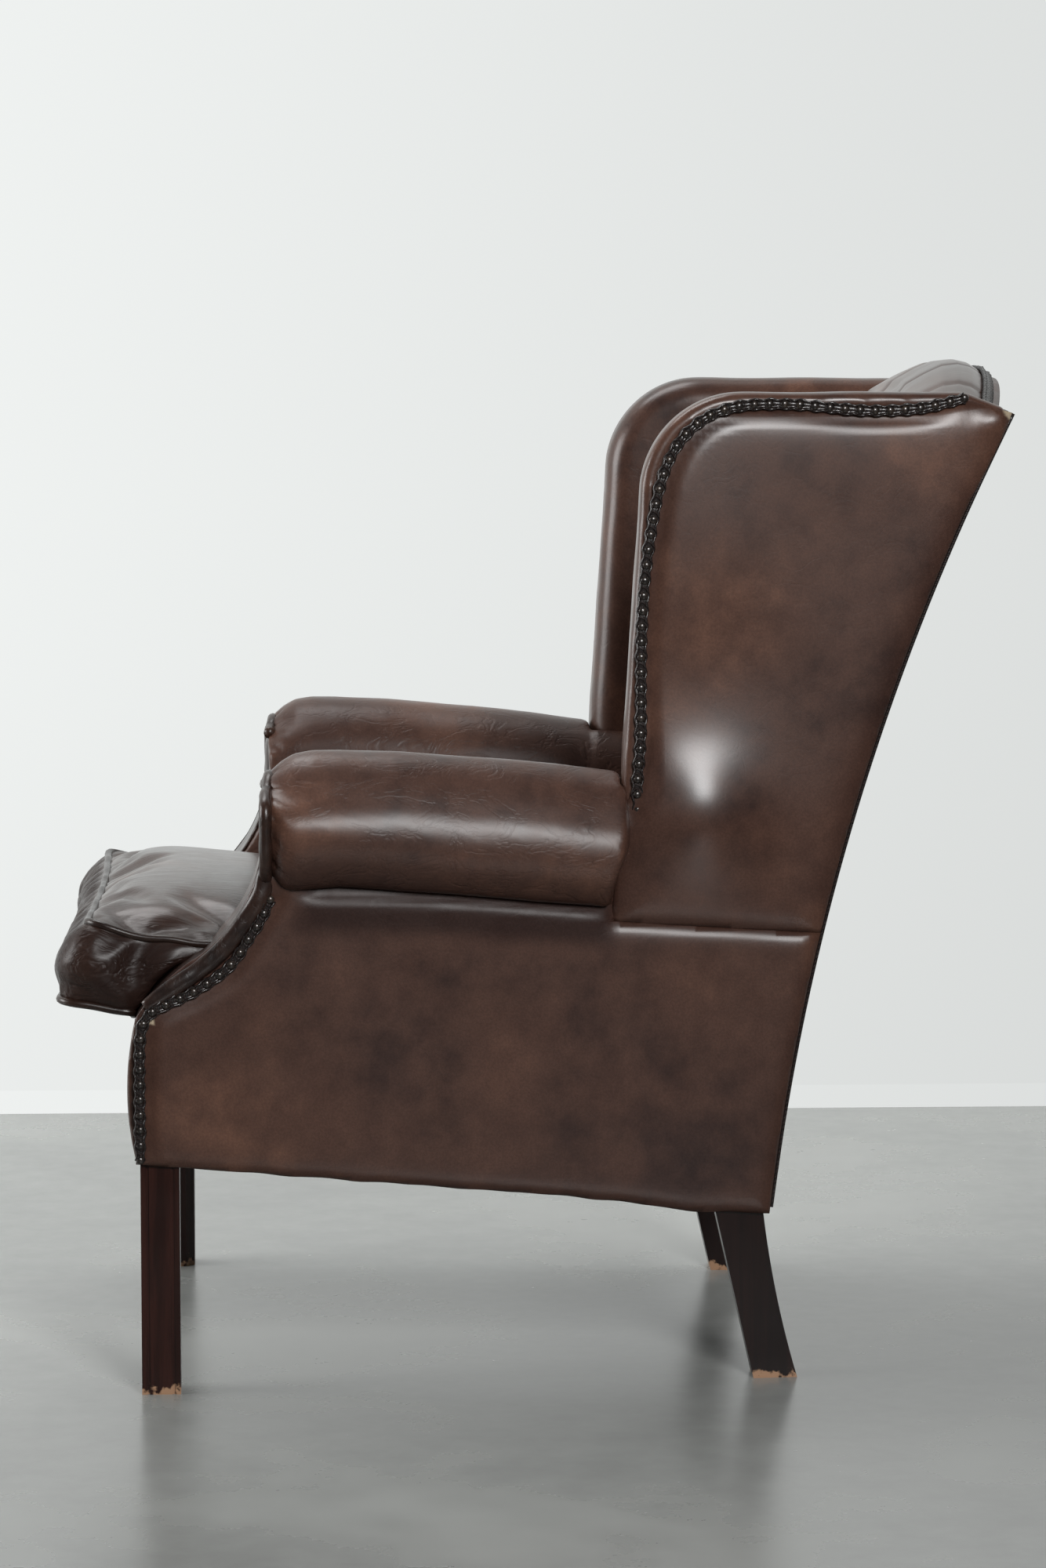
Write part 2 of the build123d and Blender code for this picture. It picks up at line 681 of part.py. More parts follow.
def back_webbing():
    """Webs across the front of the back frame, which carry the stuffing."""
    low = back_foot[1] + REAR_LEG_SPLICE + LOWER_RAIL_LIFT
    high = wing_top - CREST_PAD
    front = panel_front + BACK_FRAME_DEPTH
    layer = back_sector(front, front + WEB_THICKNESS, low, high)
    layer = layer & between_sides(PANEL_THICKNESS + POST_THICKNESS)
    strips = Sketch()
    for z in web_grid(BACK_WEBS_ACROSS, low + LOWER_RAIL_HEIGHT, high - CREST_RAIL_HEIGHT):
        strips += Pos(0, z) * Rectangle(2 * OVERRUN, WEB_WIDTH)
    half = side_x(back_top[0], WING_THICKNESS)
    for x in web_grid(BACK_WEBS_LONG, -half, half):
        strips += Pos(x, (low + high) / 2) * Rectangle(WEB_WIDTH, high - low)
    return layer & extrude(Plane.XZ * strips, amount=2 * OVERRUN, both=True)


def pad_front(z):
    """How far the buttoned pad's base stands forward of the back's arc at a height."""
    low = back_foot[1]
    share = (z - low) / (crest_top - low)
    return BACK_THICKNESS_LOW - TUFT_RISE + (BACK_THICKNESS_TOP - BACK_THICKNESS_LOW) * share


def pad_section(x):
    """Upright section of the inside back, with a lobe or pleat of its crest."""
    phase = pi * x / BUTTON_SPACING
    top = crest_z(x) - CREST_LOBE_DEPTH * (1 - abs(cos(phase)))
    low = back_foot[1]
    front_high = top - CREST_FRONT_FALL
    rear_high = top - CREST_REAR_FALL
    front = [(back_y(z, pad_front(z)), z) for z in (low, (low + front_high) / 2, front_high)]
    crest = (back_y(top, CREST_SET_FORWARD), top)
    rear = [(back_y(z, panel_front), z) for z in (rear_high, (low + rear_high) / 2, low)]
    face = outline(
        ThreePointArc(*front),
        ThreePointArc(front[-1], crest, rear[0]),
        ThreePointArc(*rear),
        Line(rear[-1], front[0]),
    )
    return Plane(origin=(x, 0, 0), x_dir=(0, 1, 0), z_dir=(1, 0, 0)) * face


def tuft_places(buttons):
    """Places across and up of the buttons, or of the tufts that swell between them."""
    top = wing_top - TOP_ROW_DROP
    half = side_x(back_top[0], 0)
    places = []
    for row in range(BUTTON_ROWS):
        z = top - row * ROW_SPACING
        odd = (row % 2 == 0) == buttons
        columns = int(half / BUTTON_SPACING) + 1
        for column in range(-columns, columns + 1):
            x = (column + (0.5 if odd else 0.0)) * BUTTON_SPACING
            if abs(x) < half:
                places.append((x, z))
    return places


def on_pad(x, z, stand_off):
    """Plane on the pad's base surface at a place, moved forward, with its normal forward."""
    reach = pad_front(z)
    y = back_y(z, reach)
    lean = (z - centre_z) / (BACK_BEND_RADIUS + reach)
    normal = Vector(0, -sqrt(1 - lean**2), lean)
    return Plane(origin=Vector(x, y, z) + normal * stand_off, x_dir=(1, 0, 0), z_dir=normal)


def back_room():
    """Space between the wings and the arms that the inside back fills."""
    room = between_sides(WING_THICKNESS + SOFT_GAP)
    far = 2 * back_foot[0]
    face = polygon((front_y, 0), (far, 0), (far, roll_axis(far)), (front_y, arm_axis))
    beside = side_board(face, 0, ARM_WIDTH + SOFT_GAP)
    beside += roll_solid(front_y, far, ROLL_RADIUS + SOFT_GAP)
    return room - beside - mirror(beside, about=Plane.YZ)


def back_buttons():
    """Leather buttons sunk at the corners of the diamonds."""
    half = side_x(back_top[0], WING_THICKNESS) - BUTTON_RADIUS
    buttons = []
    for x, z in tuft_places(True):
        if abs(x) < half and z > arm_axis - 2 * ROLL_RADIUS:
            button = Cylinder(BUTTON_RADIUS, BUTTON_THICKNESS)
            rim = button.edges().sort_by(Axis.Z)[-1]
            buttons.append(on_pad(x, z, 0) * fillet(rim, BUTTON_THICKNESS / 3))
    return Compound(children=buttons)


def inside_back_pad(buttons):
    """Deep buttoned inside back: swelling tufts between the buttons, and a pleated crest."""
    half = side_x(back_foot[0], WING_THICKNESS)
    step = BUTTON_SPACING / 2 / LOBE_STEPS
    count = int(half / step) + 1
    pad = loft([pad_section(index * step) for index in range(-count, count + 1)], ruled=True)
    for x, z in tuft_places(False):
        pad += on_pad(x, z, TUFT_RISE - TUFT_RADIUS) * Sphere(TUFT_RADIUS)
    pad = pad & above_deck & in_front_of_panel & back_room()
    return pad - back_cavity() - buttons


def outside_back_panel():
    """Leather outside back, from the rear rail to the humped top."""
    sheet = back_sector(GIMP_THICKNESS, panel_front, back_foot[1], crest_top)
    return sheet & back_arch(BACK_PANEL_DROP) & between_sides(0)


def back_gimp():
    """Braided strip along both edges and the top of the outside back."""
    layer = back_sector(0, GIMP_THICKNESS, back_foot[1], crest_top)
    whole = layer & back_arch(BACK_PANEL_DROP) & between_sides(0)
    return whole - (back_arch(BACK_PANEL_DROP + GIMP_WIDTH) & between_sides(GIMP_WIDTH))


def ear_limit(height):
    """How far back the cushion's ear may reach at a height above the seat plane."""
    places = sweep_places(0)
    back = 0.0
    for _ in range(EAR_ROUNDS):
        z = FRONT_LEG_HEIGHT + height * cos(rake) - back * sin(rake)
        back = (sweep_y(z, places) - front_y - height * sin(rake)) / cos(rake)
    return back - CUSHION_EAR_GAP


def sweep_y(z, places):
    """Y of the arm's front S-curve at a height."""
    if z <= places[0][1]:
        return places[0][0]
    if z >= places[-1][1]:
        return places[-1][0]
    for start, bend, end in (places[:3], places[2:]):
        if z <= end[1]:
            return arc_run(z, start, bend, end)


def arc_run(z, start, bend, end):
    """Run at a height of the arc through three places."""
    (ax, az), (bx, bz), (cx, cz) = start, bend, end
    twice = 2 * (ax * (bz - cz) + bx * (cz - az) + cx * (az - bz))
    squares = [p[0] ** 2 + p[1] ** 2 for p in (start, bend, end)]
    ux = (squares[0] * (bz - cz) + squares[1] * (cz - az) + squares[2] * (az - bz)) / twice
    uz = (squares[0] * (cx - bx) + squares[1] * (ax - cx) + squares[2] * (bx - ax)) / twice
    radius = sqrt((ax - ux) ** 2 + (az - uz) ** 2)
    side = 1 if bx > ux else -1
    return ux + side * sqrt(max(radius**2 - (z - uz) ** 2, 0))


def cushion_rear(height):
    """How far back the cushion reaches, clear of the inside back all the way up."""
    pad = back_y(back_foot[1] + DECK_TOP, BACK_THICKNESS_LOW) - front_y
    return (pad - height * sin(rake)) / cos(rake) - CUSHION_BACK_GAP


def cushion_outline(height, front, inset):
    """T-shaped plan of the cushion at a height above the raked seat plane."""
    ear_back = ear_limit(height) - inset
    rear = cushion_rear(height) - inset

    def between(back):
        y = front_y + back * cos(rake) + height * sin(rake)
        return side_x(y, ARM_WIDTH) - CUSHION_SIDE_GAP - inset

    half = CUSHION_HALF_WIDTH - inset
    front = front + inset
    grow = max(-inset, 0)
    right = [(half, front), (half, ear_back), (between(ear_back), ear_back), (between(rear), rear)]
    left = [(-x, y) for x, y in reversed(right)]
    face = outline(
        ThreePointArc(left[-1], (0, front + CUSHION_DRAW_IN), right[0]),
        Line(right[0], right[1]),
        Line(right[1], right[2]),
        Line(right[2], right[3]),
        Line(right[3], left[0]),
        Line(left[0], left[1]),
        Line(left[1], left[2]),
        Line(left[2], left[3]),
    )
    radii = (CUSHION_CORNER_RADIUS + grow, CUSHION_EAR_RADIUS + grow, CUSHION_EAR_RADIUS - grow)
    corners = (right[:1] + left[3:], right[1::2] + left[::2], right[2:3] + left[1:2])
    for places, radius in zip(corners, radii):
        face = fillet([face.vertices().sort_by_distance(place)[0] for place in places], radius)
    return seat_plane.offset(height) * face


bottom_seam = DECK_TOP + CUSHION_BOTTOM_LIP
top_seam = bottom_seam + CUSHION_BOXING
seam_front = -CUSHION_OVERHANG


def cushion_solid(skin):
    """T cushion with a drawn-in boxing and a crown, or the same with a skin taken off."""
    top_front = seam_front + CUSHION_FACE_LEAN
    low = DECK_TOP + SOFT_GAP
    levels = [
        (low + skin, seam_front, CUSHION_BOTTOM_INSET),
        (bottom_seam, seam_front, 0),
        ((bottom_seam + top_seam) / 2, (seam_front + top_front) / 2, CUSHION_DRAW_IN / 2),
        (top_seam, top_front, 0),
    ]
    ear = ear_limit(top_seam) - top_front
    for rise, inset in zip(crown_rise_share, crown_inset_share):
        levels.append((top_seam + rise * CUSHION_CROWN - skin, top_front, inset * ear))
    body = loft([cushion_outline(z, front, inset + skin) for z, front, inset in levels], ruled=True)
    return body + crown_centre(levels[-1][0], top_seam + CUSHION_CROWN - skin, top_front + ear, skin)


def crown_centre(low, high, front, skin):
    """Highest part of the crown, over the seat between the arms."""
    rear = cushion_rear(low) - CUSHION_EAR_GAP
    inset = crown_centre_share * (rear - front) + skin
    faces = []
    for height, margin in ((low - CUSHION_EAR_GAP, 0), (low, 0), (high, inset)):
        half = side_x(front_y + rear, ARM_WIDTH) - CUSHION_CORNER_RADIUS - margin
        size = (2 * half, rear - front - 2 * margin + CUSHION_OVERHANG)
        place = Pos(0, (front + rear - CUSHION_OVERHANG) / 2)
        faces.append(seat_plane.offset(height) * place * RectangleRounded(*size, CUSHION_CORNER_RADIUS))
    return loft(faces, ruled=True)


def cushion_piping(height, front):
    """Round piping sewn along the outside of an edge of the cushion."""
    face = cushion_outline(height, front, -PIPING_STAND_OFF)
    path = face.wires()[0]
    start = Plane(origin=path @ 0, z_dir=path % 0)
    return sweep(start * Circle(PIPING_RADIUS), path=path)


def build_chair():
    both_sides("front_leg", front_leg())
    both_sides("rear_leg", rear_leg())
    both_sides("back_post", back_post())
    both_sides("side_seat_rail", side_rail())
    write("front_seat_rail", front_rail())
    write("rear_seat_rail", rear_rail())
    write("corner_blocks", corner_blocks())
    write("bottom_cloth", bottom_cloth())
    write("seat_webbing", seat_webbing())
    write("seat_springs", seat_springs())
    write("seat_hessian", seat_hessian())
    write("seat_deck", seat_deck())
    write("front_border", front_border())
    both_sides("arm_board", arm_board())
    both_sides("arm_post", arm_post())
    frame = wing_frame()
    lower = below(FRONT_LEG_HEIGHT + WING_SPLICE_RISE)
    both_sides("wing_post", frame & lower)
    both_sides("wing_rail", frame - lower)
    both_sides("wing_pad", wing_pad())
    both_sides("arm_pad", arm_pad())
    both_sides("arm_facing", arm_facing())
    both_sides("outside_arm_panel", outside_arm_panel())
    both_sides("outside_wing_panel", outside_wing_panel())
    both_sides("wing_gimp", wing_gimp())
    both_sides("arm_gimp", arm_gimp())
    write("crest_rail", crest_rail())
    write("lower_back_rail", lower_back_rail())
    write("back_webbing", back_webbing())
    buttons = back_buttons()
    write("back_buttons", buttons)
    write("inside_back_pad", inside_back_pad(buttons))
    write("outside_back_panel", outside_back_panel())
    write("back_gimp", back_gimp())
    core = cushion_solid(CUSHION_SKIN)
    write("seat_cushion_core", core)
    write("seat_cushion_cover", cushion_solid(0) - core)
    write("cushion_piping_top", cushion_piping(top_seam, seam_front + CUSHION_FACE_LEAN))
    write("cushion_piping_bottom", cushion_piping(bottom_seam, seam_front))


build_chair()
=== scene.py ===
import json
from math import atan, atan2, cos, exp, hypot, pi, radians, sin, sqrt

import bmesh
import bpy
from bpy.props import FloatProperty, FloatVectorProperty, IntProperty, PointerProperty
from mathutils import Matrix, Vector, noise
from mathutils.bvhtree import BVHTree


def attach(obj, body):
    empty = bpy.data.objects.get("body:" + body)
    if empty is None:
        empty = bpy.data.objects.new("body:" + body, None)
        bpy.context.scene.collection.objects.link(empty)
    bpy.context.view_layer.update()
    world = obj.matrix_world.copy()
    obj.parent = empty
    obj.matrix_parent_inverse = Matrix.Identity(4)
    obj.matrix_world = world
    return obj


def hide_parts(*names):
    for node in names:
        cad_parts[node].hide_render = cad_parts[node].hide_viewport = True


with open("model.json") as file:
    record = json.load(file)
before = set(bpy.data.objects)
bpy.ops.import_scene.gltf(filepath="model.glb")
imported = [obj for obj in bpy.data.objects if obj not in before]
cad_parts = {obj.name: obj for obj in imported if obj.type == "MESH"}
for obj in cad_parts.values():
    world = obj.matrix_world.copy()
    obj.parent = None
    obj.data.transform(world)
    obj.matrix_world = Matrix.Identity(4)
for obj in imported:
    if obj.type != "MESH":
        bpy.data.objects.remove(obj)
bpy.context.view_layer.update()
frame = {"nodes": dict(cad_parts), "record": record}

bl_info = {
    "name": "Leather wing chair",
    "version": (1, 0, 0),
    "blender": (4, 5, 0),
    "location": "3D View > Sidebar > Wing chair",
    "description": "Upholsters the packed wing chair in buttoned leather with braid and nails",
    "category": "Object",
}

# The chair's main lines, in metres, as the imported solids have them
FRONT_Y = -0.4191
HALF_WIDTH = 0.350
DEPTH = 0.657
SIDE_TAPER = (HALF_WIDTH - 0.298) / DEPTH
SEAT_SLOPE = 0.064 / DEPTH
SEAT_RAKE = atan(SEAT_SLOPE)
SEAT_EDGE = 0.242
ARM_AXIS = 0.620
ARM_DEPTH = 0.030
ARM_WIDTH = 0.098
ROLL_RADIUS = 0.068
ROLL_ROUND = 0.022
ROLL_START = FRONT_Y + 0.129
WING_START = FRONT_Y + 0.500
WING_TOP = 1.028
WING_DEPTH = 0.058
BACK_FOOT = (FRONT_Y + DEPTH, SEAT_EDGE - 0.064)
BACK_LEAN = 0.242
BACK_RISE = 0.816
BACK_RADIUS = 2.5
CREST_TOP = 1.058


def back_arc_centre():
    """Centre of the arc that the outside back follows, in side view."""
    half_y, half_z = BACK_LEAN / 2, BACK_RISE / 2
    half_chord = hypot(half_y, half_z)
    reach = sqrt(BACK_RADIUS**2 - half_chord**2) / half_chord
    return BACK_FOOT[0] + half_y + half_z * reach, BACK_FOOT[1] + half_z - half_y * reach


ARC_Y, ARC_Z = back_arc_centre()


def back_y(z, forward=0.0):
    return ARC_Y - sqrt((BACK_RADIUS + forward) ** 2 - (z - ARC_Z) ** 2)


def side_x(y, depth=0.0):
    return HALF_WIDTH - depth - (y - FRONT_Y) * SIDE_TAPER


def roll_axis(y):
    return Vector((side_x(y, ARM_DEPTH), y, ARM_AXIS - (y - FRONT_Y) * SEAT_SLOPE))


def along_table(table, value):
    """Value between the entries of a table of (place, value) pairs."""
    if value <= table[0][0]:
        return table[0][1]
    for (a, low), (b, high) in zip(table, table[1:]):
        if value <= b:
            return low + (high - low) * (value - a) / (b - a)
    return table[-1][1]


def smooth_step(low, high, value):
    t = min(max((value - low) / (high - low), 0.0), 1.0)
    return t * t * (3 - 2 * t)


class LeatherSettings(bpy.types.PropertyGroup):
    colour: FloatVectorProperty(name="Colour", description="Main colour of the aged leather",
                                subtype="COLOR", default=(0.066, 0.0315, 0.0220))
    rubbed: FloatVectorProperty(
        name="Rubbed colour", description="Colour where the finish is worn thin",
        subtype="COLOR", default=(0.150, 0.070, 0.044))
    # The dark colour is the patina's, and also the colour that the painted shade goes towards.
    dark: FloatVectorProperty(
        name="Dark colour", description="Colour in the patina's dark clouds and folds",
        subtype="COLOR", default=(0.024, 0.0125, 0.0105))
    grain: FloatProperty(name="Grain size", description="Width of the leather's pebbles",
                         subtype="DISTANCE", default=0.0011)


class TuftSettings(bpy.types.PropertyGroup):
    across: FloatProperty(name="Button spacing", description="Distance between buttons in a row",
                          subtype="DISTANCE", default=0.125)
    rise: FloatProperty(name="Row spacing", description="Height between two rows of buttons",
                        subtype="DISTANCE", default=0.088)
    top_row: FloatProperty(name="Top row", description="Height of the top row of buttons",
                           subtype="DISTANCE", default=0.933)
    rows: IntProperty(name="Rows", description="Number of rows of buttons", default=5)
    swell: FloatProperty(
        name="Tuft height", description="How far a tuft stands over its folds",
        subtype="DISTANCE", default=0.026)
    dimple: FloatProperty(name="Button depth", description="How deep a button is drawn in",
                          subtype="DISTANCE", default=0.012)


class NailSettings(bpy.types.PropertyGroup):
    pitch: FloatProperty(name="Nail spacing", description="Distance between two nails",
                         subtype="DISTANCE", default=0.0158)
    radius: FloatProperty(name="Nail radius", description="Radius of a nail's domed head",
                          subtype="DISTANCE", default=0.0046)
    colour: FloatVectorProperty(name="Colour", description="Antiqued finish of the heads",
                                subtype="COLOR", default=(0.014, 0.011, 0.010))


class CushionSettings(bpy.types.PropertyGroup):
    crown: FloatProperty(name="Crown", description="How far the top rises over its seam",
                         subtype="DISTANCE", default=0.033)
    slack: FloatProperty(
        name="Slack", description="Share by which the leather is larger than its filling",
        default=0.045)
    piping: FloatProperty(name="Piping radius", description="Radius of the piping in the seams",
                          subtype="DISTANCE", default=0.0042)


class WoodSettings(bpy.types.PropertyGroup):
    colour: FloatVectorProperty(name="Leg colour", description="Polished dark hardwood",
                                subtype="COLOR", default=(0.030, 0.0088, 0.0062))
    worn: FloatVectorProperty(name="Worn colour", description="Bare wood at knocked edges",
                              subtype="COLOR", default=(0.34, 0.20, 0.12))


class StudioSettings(bpy.types.PropertyGroup):
    wall: FloatVectorProperty(name="Wall", description="Colour of the wall and sky",
                              subtype="COLOR", default=(0.80, 0.82, 0.81))
    floor: FloatVectorProperty(name="Floor", description="Colour of the polished floor",
                               subtype="COLOR", default=(0.35, 0.36, 0.345))
    wall_place: FloatProperty(
        name="Wall distance", description="How far the wall stands behind the chair",
        subtype="DISTANCE", default=1.34)


def settings():
    return bpy.context.scene.wing_chair


class Wire:
    """Output of a shader node. Sums and products of wires and numbers become Math nodes."""

    def __init__(self, socket):
        self.socket = socket
        self.tree = socket.id_data

    def maths(self, operation, *values, clamp=False):
        """Math node on the given values, or on this one."""
        made = node(self.tree, "Math", operation=operation, use_clamp=clamp)
        for entry, value in zip(made.inputs, values or (self,)):
            feed(entry, value)
        return Wire(made.outputs[0])

    def __add__(self, other):
        return self.maths("ADD", self, other)

    def __sub__(self, other):
        return self.maths("SUBTRACT", self, other)

    def __rsub__(self, other):
        return self.maths("SUBTRACT", other, self)

    def __mul__(self, other):
        return self.maths("MULTIPLY", self, other)

    def spread(self, low, high, to_low=0.0, to_high=1.0):
        """Moves the value smoothly from one range to another, and holds it at its ends."""
        ends = {"From Min": low, "From Max": high, "To Min": to_low, "To Max": to_high}
        return output(self.tree, "MapRange", "Result", interpolation_type="SMOOTHSTEP", Value=self, **ends)

    def between(self, first, second):
        """Colour that goes from the first to the second as the value rises."""
        made = node(self.tree, "Mix", data_type="RGBA")
        for index, value in ((0, self), (6, first), (7, second)):
            feed(made.inputs[index], value)
        return Wire(made.outputs[2])


def shader_group(name, inputs, *extra):
    """New shader node group with named sockets. Gives the tree, its inputs and its output node's sockets."""
    tree = bpy.data.node_groups.new(name, "ShaderNodeTree")
    for label, value in inputs.items():
        kind = {3: "Vector", 4: "Color"}[len(value)] if isinstance(value, tuple) else "Float"
        socket = tree.interface.new_socket(name=label, in_out="INPUT", socket_type="NodeSocket" + kind)
        socket.default_value = value
    for label in ("Colour", "Roughness", "Height", *extra):
        kind = "Color" if label == "Colour" else "Float"
        tree.interface.new_socket(name=label, in_out="OUTPUT", socket_type="NodeSocket" + kind)
    enter = {socket.name: Wire(socket) for socket in tree.nodes.new("NodeGroupInput").outputs}
    return tree, enter, tree.nodes.new("NodeGroupOutput").inputs


def feed(entry, value):
    """Links an input to a wire, or sets its value."""
    if isinstance(value, Wire):
        value.tree.links.new(value.socket, entry)
    else:
        entry.default_value = value


def node(tree, kind, **values):
    """New shader node. A value with an input's name goes to that input, any other is a setting."""
    made = tree.nodes.new("ShaderNode" + kind)
    for key, value in values.items():
        if key in made.inputs:
            feed(made.inputs[key], value)
        else:
            setattr(made, key, value)
    return made


def output(tree, kind, name, **values):
    """Named output of a new shader node."""
    return Wire(node(tree, kind, **values).outputs[name])


def noise_at(tree, place, **values):
    return output(tree, "TexNoise", "Fac", Vector=place, **values)


def object_place(tree):
    return output(tree, "TexCoord", "Object")


def parts_of(place):
    """X, Y and Z of a place."""
    return [Wire(socket) for socket in node(place.tree, "SeparateXYZ", Vector=place).outputs]


def scaled(tree, colour, factor):
    """A colour times a factor, each a wire or a value."""
    made = node(tree, "VectorMath", operation="SCALE", Scale=factor)
    feed(made.inputs[0], colour)
    return Wire(made.outputs[0])


def leather_group():
    """Clouded patina, rubbed edges, fine crackle and pebbled grain of old leather. A piece's attribute of
    painted shade darkens it towards the dark colour and dims its coat, and its attribute rub bleaches it where
    it is worn."""
    tree, enter, leave = shader_group("Aged leather", {
        "Colour": (0.05, 0.02, 0.015, 1), "Rubbed": (0.12, 0.05, 0.03, 1), "Dark": (0.02, 0.01, 0.008, 1),
        "Cloud scale": 4.0, "Grain scale": 900.0, "Wear": 0.5, "Creases": 0.0,
        "Crease scale": (30.0, 30.0, 30.0), "Gloss": 0.6}, "Gloss")
    place = object_place(tree)
    drawn = node(tree, "VectorMath", operation="MULTIPLY")
    feed(drawn.inputs[0], place)
    feed(drawn.inputs[1], enter["Crease scale"])
    cloud = noise_at(tree, place, Scale=enter["Cloud scale"], Detail=4.0, Roughness=0.5, Distortion=0.1)
    mottled = noise_at(tree, place, Scale=enter["Cloud scale"] * 7.0, Detail=4.0, Roughness=0.55)
    specks = noise_at(tree, place, Scale=420.0, Detail=2.0, Roughness=0.6)
    patches = noise_at(tree, place, Scale=11.0, Detail=2.0)
    creased = noise_at(tree, Wire(drawn.outputs[0]), Scale=1.0, Detail=3.0, Roughness=0.6, Distortion=0.6)
    pebbles, crackle = (
        output(tree, "TexVoronoi", "Distance", feature="DISTANCE_TO_EDGE", Vector=place, Scale=scale)
        for scale in (enter["Grain scale"], 95.0))
    edge = output(tree, "NewGeometry", "Pointiness")
    painted_shade, rub = (output(tree, "Attribute", "Fac", attribute_name=name) for name in ("painted_shade", "rub"))

    blend = cloud * 0.67 + mottled * 0.33
    body = blend.spread(0.27, 0.50).between(enter["Dark"], enter["Colour"])
    body = blend.spread(0.47, 0.70, 0.0, 0.80).between(body, enter["Rubbed"])
    worn = edge.spread(0.515, 0.60) * enter["Wear"]
    body = (worn * mottled.spread(0.35, 0.65)).between(body, enter["Rubbed"])
    body = edge.spread(0.42, 0.49).between(enter["Dark"], body)
    # Painted shade: the attribute read above darkens the leather towards the dark colour, and below it dims the
    # coat.
    body = painted_shade.between(body, enter["Dark"])
    body = (rub * mottled).spread(0.18, 0.30).between(body, (0.42, 0.34, 0.24, 1.0))
    feed(leave["Gloss"], (1.0 - painted_shade) * enter["Gloss"])
    feed(leave["Colour"], scaled(tree, body, specks.spread(0.3, 0.7, 0.89, 1.11)))
    feed(leave["Roughness"], mottled.spread(0.3, 0.72, 0.34, 0.46))

    cracks = (crackle.spread(0.0, 0.05) - 1.0) * patches.spread(0.5, 0.7, 0.0, 0.22)
    wrinkle = (creased - 0.5).maths("ABSOLUTE").spread(0.0, 0.05) + creased * 3.0
    height = pebbles.spread(0.0, 0.30) * 0.30 + cracks + specks * 0.35
    feed(leave["Height"], height + wrinkle * enter["Creases"])
    return tree


def timber_group():
    """Straight grain and pores of hardwood, chipped to the bare wood at its foot."""
    tree, enter, leave = shader_group("Hardwood", {
        "Colour": (0.03, 0.01, 0.01, 1), "Worn": (0.3, 0.2, 0.1, 1), "Wear": 0.5, "Grain scale": 60.0})
    place = object_place(tree)
    along = output(tree, "Mapping", "Vector", Scale=(1.0, 1.0, 0.06), Vector=place)
    lines = noise_at(tree, along, Scale=enter["Grain scale"], Detail=8.0, Roughness=0.65, Distortion=0.5)
    knocks = noise_at(tree, place, Scale=70.0, Detail=3.0, Roughness=0.6)
    scuffs = noise_at(tree, place, Scale=14.0, Detail=4.0)
    dark = scaled(tree, enter["Colour"], 0.45)
    body = lines.spread(0.35, 0.62).between(dark, enter["Colour"])
    body = scuffs.spread(0.5, 0.8, 0.0, 0.4).between(body, dark)
    level = parts_of(place)[2] + knocks * -0.045
    chip = level.maths("MULTIPLY", level.spread(-0.021, -0.016, 1.0, 0.0), enter["Wear"], clamp=True)
    feed(leave["Colour"], chip.between(body, enter["Worn"]))
    feed(leave["Roughness"], scuffs.spread(0.3, 0.8, 0.28, 0.5))
    feed(leave["Height"], lines - chip)
    return tree


def weave_group():
    """Over-and-under threads of a plain cloth."""
    tree, enter, leave = shader_group("Plain weave", {"Colour": (0.4, 0.3, 0.2, 1), "Threads per metre": 900.0})
    place = object_place(tree)
    x, y, z = parts_of(place)
    turn = enter["Threads per metre"] * pi
    across = (x * turn).maths("SINE")
    along = ((y + z) * turn).maths("SINE")
    cross = (across * along).maths("ABSOLUTE")
    slubs = noise_at(tree, place, Scale=90.0, Detail=4.0)
    shade = cross * 0.35 + slubs.spread(0.3, 0.7, 0.55, 0.85)
    feed(leave["Colour"], scaled(tree, enter["Colour"], shade))
    feed(leave["Roughness"], slubs.spread(0.2, 0.8, 0.8, 0.95))
    feed(leave["Height"], cross)
    return tree


def braid_group():
    """Slanting strands of a narrow braid, on the piece's own UV map: U along it in metres, V across it."""
    tree, enter, leave = shader_group("Braid", {
        "Colour": (0.02, 0.01, 0.01, 1), "Light": (0.06, 0.03, 0.02, 1), "Strand": 0.005})
    along, across, _ = parts_of(output(tree, "TexCoord", "UV"))
    steps = along.maths("DIVIDE", along, enter["Strand"])
    fold = (across - 0.5).maths("ABSOLUTE")
    wave = ((steps + fold * 3.0) * (2 * pi)).maths("SINE")
    high = wave.spread(-0.7, 0.8)
    feed(leave["Colour"], high.between(enter["Colour"], enter["Light"]))
    feed(leave["Roughness"], wave.spread(-1.0, 1.0, 0.6, 0.38))
    feed(leave["Height"], high)
    return tree


GROUPS = {}


def group(builder):
    if builder not in GROUPS:
        GROUPS[builder] = builder()
    return GROUPS[builder]


def new_material(name):
    """Material with its tree and its Principled shader."""
    made = bpy.data.materials.new(name)
    made.use_nodes = True
    return made, made.node_tree, made.node_tree.nodes["Principled BSDF"]


def finish_from(name, builder, values, bump, depth, **shader):
    """Material whose colour, roughness and relief come from a group. Plain values sit on the shader."""
    if name in bpy.data.materials:
        return bpy.data.materials[name]
    made, tree, surface = new_material(name)
    source = tree.nodes.new("ShaderNodeGroup")
    source.node_tree = group(builder)
    for key, value in values.items():
        colour = source.inputs[key].type == "RGBA"
        source.inputs[key].default_value = (*value, 1.0) if colour else value
    wires = {socket.name: Wire(socket) for socket in source.outputs}
    relief = output(tree, "Bump", "Normal", Strength=bump, Distance=depth, Height=wires["Height"])
    links = {"Base Color": wires["Colour"], "Roughness": wires["Roughness"], "Normal": relief}
    if "Gloss" in wires:
        links["Coat Weight"] = wires["Gloss"]
    for key, value in {**links, **shader}.items():
        feed(surface.inputs[key.replace("_", " ")], value)
    return made


